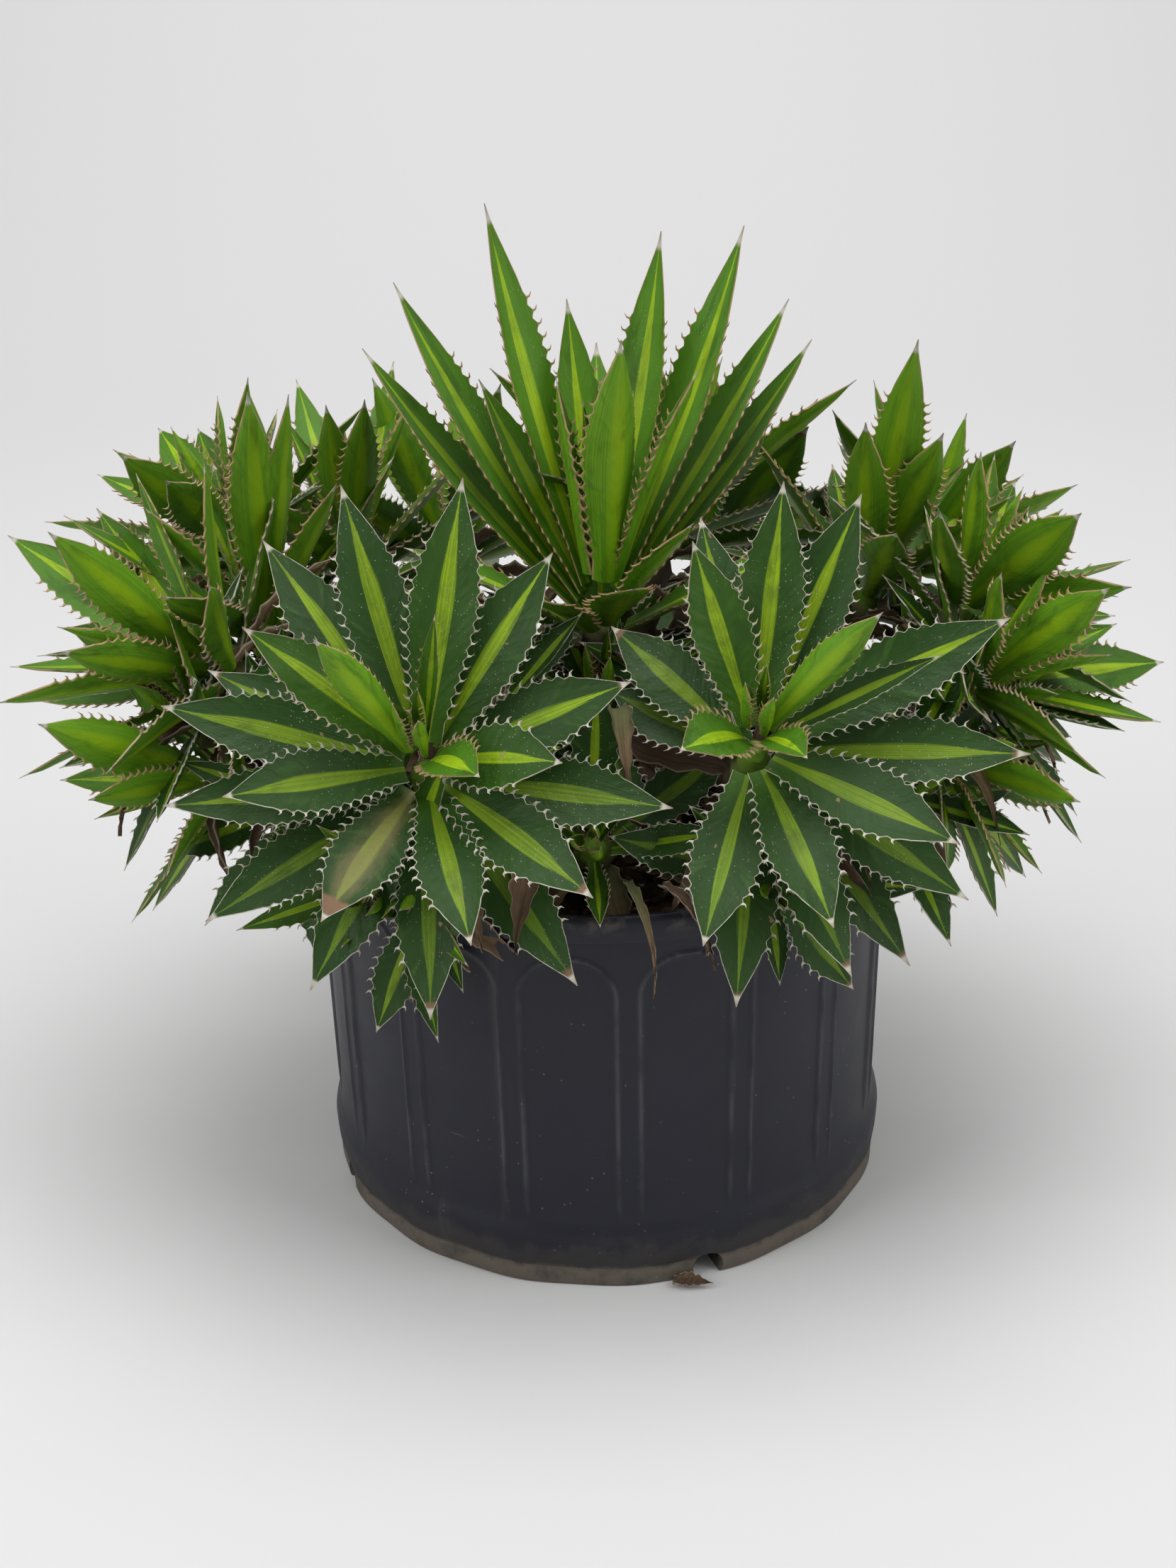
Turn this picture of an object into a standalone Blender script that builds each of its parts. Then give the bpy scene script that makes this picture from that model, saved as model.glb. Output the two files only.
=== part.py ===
"""Potted agave: a crowded clump of variegated rosettes in a round nursery pot.

Metres, +Z up. The origin is the middle of the pot's underside and the plant's
best side faces -Y. Every leaf is a loft along a bowed rib, and its direction is
given by a clock hour round its rosette and by how far it opens from the axis.
"""

import math

import bmesh
import bpy
import numpy as np

NAME = "potted_agave"
MM = 0.001
GAP = 0.0004  # clear space between pieces that lie against each other

# Pot
POT_HEIGHT = 0.250
RIM_RADIUS = 0.181
FOOT_RADIUS = 0.1745
HEEL_RADIUS = 0.1765
HEEL_TOP = 0.044
WALL_LOW_RADIUS = 0.1725
WALL_TOP_RADIUS = 0.1765
LIP = 0.0075
LIP_BOTTOM = 0.234
WALL = 0.003
FLOOR = 0.004
ROUND_STEPS = 48
DRAINS = 4
DRAIN_RADIUS = 0.011
DRAIN_TURN = -68.5  # degrees from +X to the first drain notch

# Soil
SOIL_TOP = 0.226
SOIL_STEPS = 32

# Leaf
GOLDEN_TURN = 137.5
FINE_STATIONS = 6  # sections along a leaf that is a piece of its own
JOINED_STATIONS = 5
LEAF_THICK = 3.2
TROUGH = 0.20  # how high the edges stand over the rib, as a share of the half width
LEAF_OFF_CROWN = -0.0016  # how deep a leaf's foot stands in the crown
LEAF_IN_CROWN = 0.005
REACH = 0.34  # rosettes nearer than this can touch
ELBOW_ROOM = 17  # degrees that a rule-grown leaf keeps from a hand-set one
UPHILL = np.array((0.0, 0.41, 0.91))  # clock hour 0 of a rosette points this way


# Rosettes: foot of the crown, lean from upright, compass of the lean (-90 is the front).
# A leaf of a hand-set rosette: clock, opening at the foot and at the tip, length, width, twist.
FRONT_LEFT = dict(
    at=(-0.096, -0.148, 0.318), lean=36, toward=-93, root=(-0.078, -0.085), crown=40,
    leaves=(
        (20, 26, 20, 82, 14, 0),
        (281, 20, 24, 98, 26, -20),
        (137, 29, 75, 56, 30, 0),
        (290, 42, 50, 116, 34, 0),
        (13, 48, 56, 144, 38, 0),
        (111, 49, 73, 86, 38, 0),
        (40, 54, 60, 124, 38, 0),
        (342, 57, 64, 148, 38, 0),
        (248, 66, 74, 104, 36, 0),
        (76, 68, 76, 112, 38, 0),
        (278, 72, 78, 134, 38, 0),
        (325, 73, 78, 150, 38, 0),
        (135, 72, 82, 124, 38, 0),
        (166, 74, 84, 110, 36, 0),
        (207, 76, 86, 98, 38, 0),
        (105, 78, 84, 128, 38, 0),
        (296, 80, 82, 124, 34, 0),
        (259, 82, 80, 130, 34, 0),
        (145, 94, 106, 130, 36, 0),
        (178, 96, 112, 120, 36, 0),
        (238, 94, 98, 128, 36, 0),
        (210, 98, 110, 116, 36, 0),
    ),
)
FRONT_RIGHT = dict(
    at=(0.082, -0.148, 0.326), lean=36, toward=-87, root=(0.072, -0.085), crown=40,
    leaves=(
        (75, 28, 38, 92, 24, 20),
        (149, 28, 70, 48, 24, 0),
        (236, 32, 76, 60, 34, 0),
        (335, 44, 50, 104, 34, 0),
        (8, 50, 56, 130, 36, 0),
        (82, 52, 60, 104, 18, 0),
        (28, 56, 62, 136, 38, 0),
        (72, 66, 74, 142, 40, 0),
        (349, 70, 74, 122, 36, 0),
        (128, 74, 82, 116, 38, 0),
        (98, 78, 84, 136, 38, 0),
        (163, 80, 94, 104, 38, 0),
        (316, 82, 88, 96, 36, 0),
        (197, 85, 98, 106, 38, 0),
        (300, 90, 94, 76, 34, 0),
        (127, 91, 100, 126, 38, 0),
        (161, 92, 101, 120, 34, 0),
        (186, 101, 116, 122, 36, 0),
        (141, 103, 116, 126, 34, 0),
    ),
)
CENTRE = dict(
    at=(0.002, -0.002, 0.356), lean=4, toward=-90, root=(0.002, -0.002), crown=36,
    leaves=(
        (335, 7, 5, 102, 14, 0),
        (275, 10, 6, 122, 26, 0),
        (150, 9, 7, 154, 40, 0),
        (97, 18, 24, 140, 32, 0),
        (345, 20, 16, 164, 32, 0),
        (33, 22, 14, 206, 34, 0),
        (315, 24, 16, 230, 34, 0),
        (57, 30, 20, 224, 40, 0),
        (302, 30, 32, 140, 34, 0),
        (67, 38, 30, 200, 40, 0),
        (295, 38, 28, 216, 40, 0),
        (130, 36, 44, 88, 38, 0),
        (69, 44, 36, 192, 36, 0),
        (288, 46, 36, 200, 36, 0),
        (165, 44, 60, 70, 36, 0),
        (0, 46, 40, 174, 38, 0),
        (210, 50, 66, 92, 36, 0),
        (252, 54, 62, 124, 36, 0),
        (112, 56, 62, 124, 36, 0),
    ),
)

# Rosettes that are one piece each. Some leaves are set by hand, and the rule fills the gaps
# between them: leaf count, clock of the youngest leaf, opening of the youngest and the
# oldest leaf, length and width of a full-grown leaf.
JOINED = {
    "rosette_centre": CENTRE,
    "rosette_left": dict(
        at=(-0.219, -0.029, 0.338), lean=52, toward=187, root=(-0.130, -0.015), crown=30,
        leaves=(
            (303, 47, 51, 138, 38, 0),
            (281, 38, 42, 156, 38, 0),
            (91, 32, 36, 140, 36, 0),
            (77, 55, 63, 92, 36, 0),
            (265, 50, 54, 114, 34, 0),
            (238, 53, 57, 124, 34, 0),
            (151, 42, 46, 134, 32, 0),
            (142, 64, 72, 116, 36, 0),
        ),
        grown=(16, 20, 14, 74, 124, 38),
    ),
    "rosette_left_low": dict(
        at=(-0.214, -0.056, 0.283), lean=70, toward=197, root=(-0.142, -0.040), crown=24,
        leaves=(
            (84, 25, 31, 124, 36, 0),
            (261, 46, 54, 112, 26, 0),
            (114, 37, 45, 108, 26, 0),
            (135, 58, 70, 88, 24, 0),
        ),
        grown=(10, 60, 22, 72, 96, 30),
    ),
    "rosette_left_back": dict(
        at=(-0.203, 0.029, 0.334), lean=10, toward=165, root=(-0.125, 0.035), crown=30,
        leaves=(
            (127, 26, 24, 158, 38, 0),
            (342, 36, 34, 150, 38, 0),
            (106, 26, 24, 150, 30, 0),
            (323, 49, 53, 130, 36, 0),
            (104, 40, 46, 120, 36, 0),
        ),
        grown=(14, 150, 8, 80, 128, 36),
    ),
    "rosette_far_left": dict(
        at=(-0.225, 0.097, 0.372), lean=34, toward=155, root=(-0.125, 0.085), crown=28,
        leaves=(
            (115, 51, 55, 114, 36, 0),
            (277, 44, 48, 120, 36, 0),
            (106, 60, 64, 100, 34, 0),
            (291, 47, 51, 110, 34, 0),
            (299, 58, 62, 104, 34, 0),
            (239, 42, 48, 104, 30, 0),
        ),
        grown=(15, 80, 12, 88, 108, 34),
    ),
    "rosette_back_left": dict(
        at=(-0.156, 0.105, 0.352), lean=14, toward=120, root=(-0.090, 0.092), crown=28,
        leaves=(
            (313, 35, 35, 132, 30, 0),
            (144, 38, 38, 122, 28, 0),
            (333, 49, 51, 120, 30, 0),
            (129, 40, 42, 130, 30, 0),
            (350, 44, 42, 158, 32, 0),
        ),
        grown=(14, 10, 8, 76, 122, 34),
    ),
    "rosette_right_back": dict(
        at=(0.166, 0.049, 0.345), lean=14, toward=20, root=(0.110, 0.045), crown=30,
        leaves=(
            (228, 31, 29, 178, 36, 0),
            (238, 40, 40, 140, 36, 0),
            (31, 60, 58, 128, 36, 80),
            (22, 62, 66, 124, 34, 0),
            (209, 31, 36, 126, 36, 0),
            (57, 64, 74, 88, 34, 0),
        ),
        grown=(14, 200, 8, 80, 116, 36),
    ),
    "rosette_right": dict(
        at=(0.212, -0.002, 0.353), lean=38, toward=10, root=(0.132, -0.003), crown=30,
        leaves=(
            (279, 66, 69, 120, 38, 0),
            (67, 56, 57, 132, 38, 0),
            (76, 57, 59, 122, 36, 0),
            (250, 52, 56, 138, 40, 0),
            (46, 68, 70, 130, 36, 0),
            (96, 62, 68, 102, 38, 0),
        ),
        grown=(15, 330, 12, 80, 104, 38),
    ),
    "rosette_right_front": dict(
        at=(0.213, -0.048, 0.326), lean=52, toward=-12, root=(0.142, -0.042), crown=30,
        leaves=(
            (263, 35, 38, 122, 34, 0),
            (77, 62, 70, 106, 36, 0),
            (101, 58, 62, 140, 40, 0),
            (226, 60, 70, 112, 36, 0),
            (115, 84, 92, 108, 34, 0),
        ),
        grown=(15, 45, 14, 80, 98, 36),
    ),
    "rosette_right_low": dict(
        at=(0.197, -0.062, 0.288), lean=74, toward=-30, root=(0.138, -0.058), crown=22,
        leaves=(
            (243, 30, 38, 112, 28, 0),
            (124, 84, 92, 118, 34, 0),
            (229, 53, 63, 120, 28, 0),
            (234, 64, 74, 104, 26, 0),
        ),
        grown=(9, 140, 24, 76, 88, 32),
    ),
    "pup_front": dict(
        at=(-0.112, -0.156, 0.268), lean=82, toward=-112, root=(-0.098, -0.114), crown=16,
        grown=(7, 205, 26, 92, 84, 22),
    ),
    "rosette_back": dict(
        at=(0.040, 0.118, 0.366), lean=18, toward=72, root=(0.018, 0.095), crown=28,
        grown=(16, 260, 8, 80, 146, 38),
    ),
    "rosette_rear_left": dict(
        at=(-0.098, 0.204, 0.322), lean=50, toward=114, root=(-0.070, 0.138), crown=28,
        grown=(18, 300, 14, 96, 138, 40),
    ),
    "rosette_rear_right": dict(
        at=(0.078, 0.204, 0.324), lean=48, toward=72, root=(0.050, 0.138), crown=28,
        grown=(18, 100, 14, 96, 138, 42),
    ),
    "rosette_far_right": dict(
        at=(0.204, 0.128, 0.338), lean=42, toward=36, root=(0.118, 0.094), crown=28,
        grown=(16, 30, 12, 92, 122, 38),
    ),
}

HAND_SET = {"front_left": FRONT_LEFT, "front_right": FRONT_RIGHT}

COLOURS = {
    "pot": ((0.018, 0.019, 0.026), 0.45),
    "soil": ((0.030, 0.020, 0.013), 0.95),
    "leaf": ((0.055, 0.160, 0.028), 0.42),
    "stem": ((0.200, 0.150, 0.080), 0.80),
}


# Vectors


def unit(v):
    return v / np.linalg.norm(v)


def rosette_axes(rosette):
    """The rosette's axis and its clock directions, hour 0 and a quarter turn on."""
    lean = math.radians(rosette["lean"])
    toward = math.radians(rosette["toward"])
    axis = np.array((
        math.sin(lean) * math.cos(toward),
        math.sin(lean) * math.sin(toward),
        math.cos(lean),
    ))
    hour0 = unit(UPHILL - UPHILL.dot(axis) * axis)
    return axis, hour0, np.cross(hour0, axis)


# Leaves


def grown_leaves(count, first, inner, outer, length, width):
    """Leaves in the order they grew, the youngest first, a golden turn apart."""
    leaves = []
    for i in range(count):
        age = i / (count - 1)
        size = 0.58 + 0.42 * min(1.0, 2.2 * age)
        opening = inner + (outer - inner) * age ** 0.8
        leaves.append((
            (first + GOLDEN_TURN * i) % 360,
            opening,
            opening + 14 * age - 4,
            length * size,
            width * (0.45 + 0.55 * min(1.0, 1.8 * age)),
            0,
        ))
    return leaves


def crowds(leaf, other):
    """Whether two leaves of a rosette point nearly the same way."""
    directions = []
    for clock, start, end, *_ in (leaf, other):
        turn, opening = math.radians(clock), math.radians((start + end) / 2)
        directions.append(np.array((
            math.sin(opening) * math.cos(turn),
            math.sin(opening) * math.sin(turn),
            math.cos(opening),
        )))
    return directions[0].dot(directions[1]) > math.cos(math.radians(ELBOW_ROOM))


def leaves_of(rosette):
    """The leaves from the youngest, and uppermost on the crown, to the oldest."""
    placed = list(rosette.get("leaves", ()))
    if "grown" not in rosette:
        return placed
    for leaf in grown_leaves(*rosette["grown"]):
        if not any(crowds(leaf, other) for other in rosette.get("leaves", ())):
            placed.append(leaf)
    return sorted(placed, key=lambda leaf: leaf[1])


def half_width(s, width):
    """Half the blade's width at the share s of its length: a lance, widest past its middle."""
    return 0.5 * width * MM * max(0.0, math.sin(math.pi * (0.16 + 0.84 * s) ** 1.4)) ** 0.8


def leaf_path(rosette, leaf, index, count, inset, stations=FINE_STATIONS):
    """Rib points with the tangent, the upper side's normal and the crosswise direction of each."""
    axis, hour0, hour3 = rosette_axes(rosette)
    clock, start, end, length, _, twist = leaf
    out = math.cos(math.radians(clock)) * hour0 + math.sin(math.radians(clock)) * hour3
    crown = rosette["crown"] * MM
    level = 1 - index / max(1, count - 1)
    radius = crown_radius(level) - inset
    point = np.array(rosette["at"]) + axis * crown * level + out * radius
    step = length * MM / (stations - 1)
    path = []
    for k in range(stations):
        s = k / (stations - 1)
        angle = math.radians(start + (end - start) * s)
        along = math.cos(angle) * axis + math.sin(angle) * out
        upper = math.sin(angle) * axis - math.cos(angle) * out
        turn = math.radians(twist) * s
        across = np.cross(along, upper)
        normal = math.cos(turn) * upper + math.sin(turn) * across
        path.append((s, point.copy(), along, normal, np.cross(along, normal)))
        middle = math.radians(start + (end - start) * (s + 0.5 / (stations - 1)))
        point = point + step * (math.cos(middle) * axis + math.sin(middle) * out)
    return path


def crown_radius(level):
    """The crown's radius at the share of its height: an egg that narrows upwards."""
    return 0.013 - 0.008 * level ** 1.5


def leaf_mesh(name, rosette, leaf, index, count, inset, grow=0.0):
    """A closed blade: a folded strip, thick along its rib and sharp at its edges."""
    stations = JOINED_STATIONS if rosette in JOINED.values() else FINE_STATIONS
    path = leaf_path(rosette, leaf, index, count, inset, stations)
    width = leaf[4]
    points = []
    for s, point, _, normal, across in path[:-1]:
        half = half_width(s, width) + grow
        thick = 0.5 * LEAF_THICK * MM * (1.0 - 0.45 * s) + grow
        rise = TROUGH * half
        points += [
            point - across * half + normal * rise,
            point - normal * thick,
            point + across * half + normal * rise,
            point + normal * thick,
        ]
    last = path[-1]
    points.append(last[1] + last[2] * grow * 3)
    faces = [(0, 1, 2, 3)]
    for k in range(len(path) - 2):
        for j in range(4):
            a, b = 4 * k + j, 4 * k + (j + 1) % 4
            faces += [(a, a + 4, b + 4), (a, b + 4, b)]
    tip = len(points) - 1
    ring = tip - 4
    for j in range(4):
        faces.append((ring + j, tip, ring + (j + 1) % 4))
    mesh = bpy.data.meshes.new(name)
    mesh.from_pydata([tuple(p) for p in points], [], faces)
    mesh.update()
    return mesh


# Scene helpers


def clear_scene():
    for thing in list(bpy.data.objects):
        bpy.data.objects.remove(thing)


def new_collection(name, hidden):
    collection = bpy.data.collections.new(name)
    collection.hide_render = hidden
    bpy.context.scene.collection.children.link(collection)
    return collection


def material(name):
    found = bpy.data.materials.get(name)
    if found:
        return found
    colour, roughness = COLOURS[name]
    made = bpy.data.materials.new(name)
    made.use_nodes = True
    shader = made.node_tree.nodes["Principled BSDF"]
    shader.inputs["Base Color"].default_value = (*colour, 1)
    shader.inputs["Roughness"].default_value = roughness
    shader.inputs["Metallic"].default_value = 0
    return made


def add_object(name, mesh, collection, finish):
    thing = bpy.data.objects.new(name, mesh)
    collection.objects.link(thing)
    mesh.materials.append(material(finish))
    if collection.hide_render:
        thing.hide_render = True
        thing.display_type = "WIRE"
    return thing


def evaluated_mesh(thing):
    graph = bpy.context.evaluated_depsgraph_get()
    return bpy.data.meshes.new_from_object(thing.evaluated_get(graph), depsgraph=graph)


def boolean(thing, operation, collection, solver="EXACT"):
    change = thing.modifiers.new(operation.lower(), "BOOLEAN")
    change.operation = operation
    change.operand_type = "COLLECTION"
    change.collection = collection
    change.solver = solver


def turned(name, profile, steps, collection, finish, ring=False):
    """A profile at +X, from the top down its outer side, screwed round the Z axis."""
    mesh = bpy.data.meshes.new(name)
    points = [(r, 0, z) for r, z in profile]
    edges = [(i, i + 1) for i in range(len(points) - 1)]
    if ring:
        edges.append((len(points) - 1, 0))
    mesh.from_pydata(points, edges, [])
    thing = add_object(name, mesh, collection, finish)
    screw = thing.modifiers.new("turn", "SCREW")
    screw.steps = steps
    screw.render_steps = steps
    screw.use_merge_vertices = True
    screw.merge_threshold = 0.00005
    screw.use_smooth_shade = True
    return thing


# Plant


def stem_mesh(rosette, grow=0.0):
    """A short stem that rises from the soil and swells into the crown that bears the leaves."""
    axis = rosette_axes(rosette)[0]
    crown = rosette["crown"] * MM
    at = np.array(rosette["at"])
    foot = np.array((*rosette["root"], SOIL_TOP + GAP))
    bend = foot + np.array((0, 0, 0.45 * np.linalg.norm(at - foot)))
    stations = []
    for t in (0.0, 0.4, 0.75):
        point = (1 - t) ** 2 * foot + 2 * t * (1 - t) * bend + t * t * at
        along = unit((1 - t) * (bend - foot) + t * (at - bend))
        stations.append((point, along, 0.0125))
    for level in (0.0, 0.3, 0.65, 0.9):
        stations.append((at + axis * crown * level, axis, crown_radius(level)))
    sides = 8
    side = unit(np.cross((0.3, 1.0, 0.2), axis))
    points = []
    for point, along, radius in stations:
        across = unit(side - side.dot(along) * along)
        other = np.cross(along, across)
        for j in range(sides):
            angle = 2 * math.pi * j / sides
            reach = radius + grow
            points.append(point + reach * (math.cos(angle) * across + math.sin(angle) * other))
    for j in range(sides):
        points[j][2] = foot[2]
    points.append(at + axis * crown * 1.04)
    faces = [tuple(range(sides - 1, -1, -1))]
    for k in range(len(stations) - 1):
        for j in range(sides):
            a, b = sides * k + j, sides * k + (j + 1) % sides
            faces += [(a, b, b + sides), (a, b + sides, a + sides)]
    tip = len(points) - 1
    ring = tip - sides
    for j in range(sides):
        faces.append((ring + j, ring + (j + 1) % sides, tip))
    mesh = bpy.data.meshes.new("stem")
    mesh.from_pydata([tuple(p) for p in points], [], faces)
    mesh.update()
    return mesh


def rosette_pieces(name, rosette, inset, grow):
    """(name, mesh, finish) of the stem and of each leaf."""
    leaves = leaves_of(rosette)
    yield "stem_" + name, stem_mesh(rosette, grow), "stem"
    for i, leaf in enumerate(leaves):
        label = f"leaf_{name}_{i + 1:02d}"
        yield label, leaf_mesh(label, rosette, leaf, i, len(leaves), inset, grow), "leaf"


def make_clearance(name, rosette, inset):
    """The rosette's outline a hair larger, which its later neighbours keep out of."""
    collection = new_collection(name + "_clearance", True)
    for label, mesh, finish in rosette_pieces(name, rosette, inset, GAP):
        add_object(label + ".clear", mesh, collection, finish)
    return collection


def hand_set_rosette(name, rosette, parts):
    """A rosette whose stem and leaves are pieces of their own, a hair apart at the crown."""
    for label, mesh, finish in rosette_pieces(name, rosette, LEAF_OFF_CROWN, 0.0):
        add_object(label, mesh, parts, finish)


def joined_rosette(name, rosette, parts, neighbours):
    """A rosette as one body: its leaves grow out of the crown, and keep clear of its neighbours."""
    limbs = new_collection(name + "_limbs", True)
    pieces = list(rosette_pieces(name, rosette, LEAF_IN_CROWN, 0.0))
    for label, mesh, finish in pieces[1:]:
        add_object(label, mesh, limbs, finish)
    body = add_object(name, pieces[0][1], parts, "leaf")
    boolean(body, "UNION", limbs, "MANIFOLD")
    for collection in neighbours:
        boolean(body, "DIFFERENCE", collection, "MANIFOLD")
    body.data = keep_largest(evaluated_mesh(body))
    body.modifiers.clear()
    body.data.materials.clear()
    body.data.materials.append(material("leaf"))


def keep_largest(mesh):
    """The mesh without the tips that a neighbour cut off: only its biggest body."""
    work = bmesh.new()
    work.from_mesh(mesh)
    bodies = []
    seen = set()
    for start in work.verts:
        if start in seen:
            continue
        seen.add(start)
        body = [start]
        for vertex in body:
            for edge in vertex.link_edges:
                other = edge.other_vert(vertex)
                if other not in seen:
                    seen.add(other)
                    body.append(other)
        bodies.append(body)
    bodies.sort(key=len)
    for body in bodies[:-1]:
        bmesh.ops.delete(work, geom=body, context="VERTS")
    work.to_mesh(mesh)
    work.free()
    return mesh


def near(first, second):
    apart = np.linalg.norm(np.array(first["at"]) - np.array(second["at"]))
    return apart < REACH


# Pot and soil


def wall_radius(z):
    """The outer radius of the pot's wall between its heel and its rim."""
    share = (z - HEEL_TOP) / (LIP_BOTTOM - HEEL_TOP)
    return WALL_LOW_RADIUS + share * (WALL_TOP_RADIUS - WALL_LOW_RADIUS)


def make_pot(parts, cutters):
    inside = FOOT_RADIUS - WALL - 0.006
    profile = [
        (0, FLOOR),
        (inside, FLOOR),
        (wall_radius(HEEL_TOP) - WALL, HEEL_TOP),
        (wall_radius(LIP_BOTTOM) - WALL, LIP_BOTTOM),
        (RIM_RADIUS - LIP, POT_HEIGHT),
        (RIM_RADIUS - 0.001, POT_HEIGHT),
        (RIM_RADIUS, POT_HEIGHT - 0.002),
        (RIM_RADIUS, LIP_BOTTOM + 0.002),
        (wall_radius(LIP_BOTTOM), LIP_BOTTOM),
        (wall_radius(HEEL_TOP), HEEL_TOP),
        (HEEL_RADIUS, HEEL_TOP - 0.010),
        (FOOT_RADIUS, 0.006),
        (FOOT_RADIUS - 0.002, 0),
        (0, 0),
    ]
    pot = turned("pot", profile, ROUND_STEPS, parts, "pot")
    for k in range(DRAINS):
        turn = math.radians(DRAIN_TURN + 360 / DRAINS * k)
        mesh = bpy.data.meshes.new("drain")
        work = bmesh.new()
        bmesh.ops.create_cone(
            work, cap_ends=True, segments=12, radius1=DRAIN_RADIUS, radius2=DRAIN_RADIUS, depth=0.030,
        )
        work.to_mesh(mesh)
        work.free()
        drain = add_object(f"drain_{k + 1}", mesh, cutters, "pot")
        drain.rotation_euler = (0, math.pi / 2, turn)
        reach = FOOT_RADIUS - 0.006
        drain.location = (reach * math.cos(turn), reach * math.sin(turn), 0.008)
    boolean(pot, "DIFFERENCE", cutters)


def make_pot_clearance():
    """A ring that holds the pot's whole wall with a hair to spare."""
    inner = wall_radius(SOIL_TOP) - WALL - GAP
    outer = RIM_RADIUS + GAP
    top = POT_HEIGHT + GAP
    profile = [(inner, top), (outer, top), (outer, 0), (inner, 0)]
    collection = new_collection("pot_clearance", True)
    turned("pot.clear", profile, ROUND_STEPS, collection, "pot", ring=True)
    return collection


def make_soil(parts):
    side = WALL + GAP
    profile = [
        (0, SOIL_TOP),
        (wall_radius(SOIL_TOP) - side, SOIL_TOP),
        (wall_radius(HEEL_TOP) - side, HEEL_TOP),
        (FOOT_RADIUS - side - 0.007, FLOOR + GAP),
        (0, FLOOR + GAP),
    ]
    turned("soil", profile, SOIL_STEPS, parts, "soil")


def main():
    clear_scene()
    parts = new_collection(NAME, False)
    make_pot(parts, new_collection("drain_cutters", True))
    make_soil(parts)
    pot_ring = make_pot_clearance()
    placed = []
    for name, rosette in HAND_SET.items():
        hand_set_rosette(name, rosette, parts)
        placed.append((rosette, make_clearance(name, rosette, LEAF_OFF_CROWN)))
    for name, rosette in JOINED.items():
        neighbours = [pot_ring] + [shape for other, shape in placed if near(rosette, other)]
        joined_rosette(name, rosette, parts, neighbours)
        placed.append((rosette, make_clearance(name, rosette, LEAF_IN_CROWN)))


main()
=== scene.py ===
import math
import random

import bpy
import numpy as np
from mathutils import Matrix


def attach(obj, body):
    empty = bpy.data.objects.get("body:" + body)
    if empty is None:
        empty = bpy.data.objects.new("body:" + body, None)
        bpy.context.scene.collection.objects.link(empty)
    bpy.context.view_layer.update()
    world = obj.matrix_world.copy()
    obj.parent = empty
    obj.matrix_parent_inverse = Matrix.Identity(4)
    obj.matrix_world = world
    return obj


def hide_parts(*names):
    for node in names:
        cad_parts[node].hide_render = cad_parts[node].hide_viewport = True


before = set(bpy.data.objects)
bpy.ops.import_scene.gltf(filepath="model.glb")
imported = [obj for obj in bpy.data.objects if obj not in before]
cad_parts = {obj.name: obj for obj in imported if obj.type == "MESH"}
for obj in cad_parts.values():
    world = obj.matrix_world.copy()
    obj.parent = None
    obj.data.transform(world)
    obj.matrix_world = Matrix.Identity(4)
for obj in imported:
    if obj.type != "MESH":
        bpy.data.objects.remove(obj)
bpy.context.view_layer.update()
mm = 0.001

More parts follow.
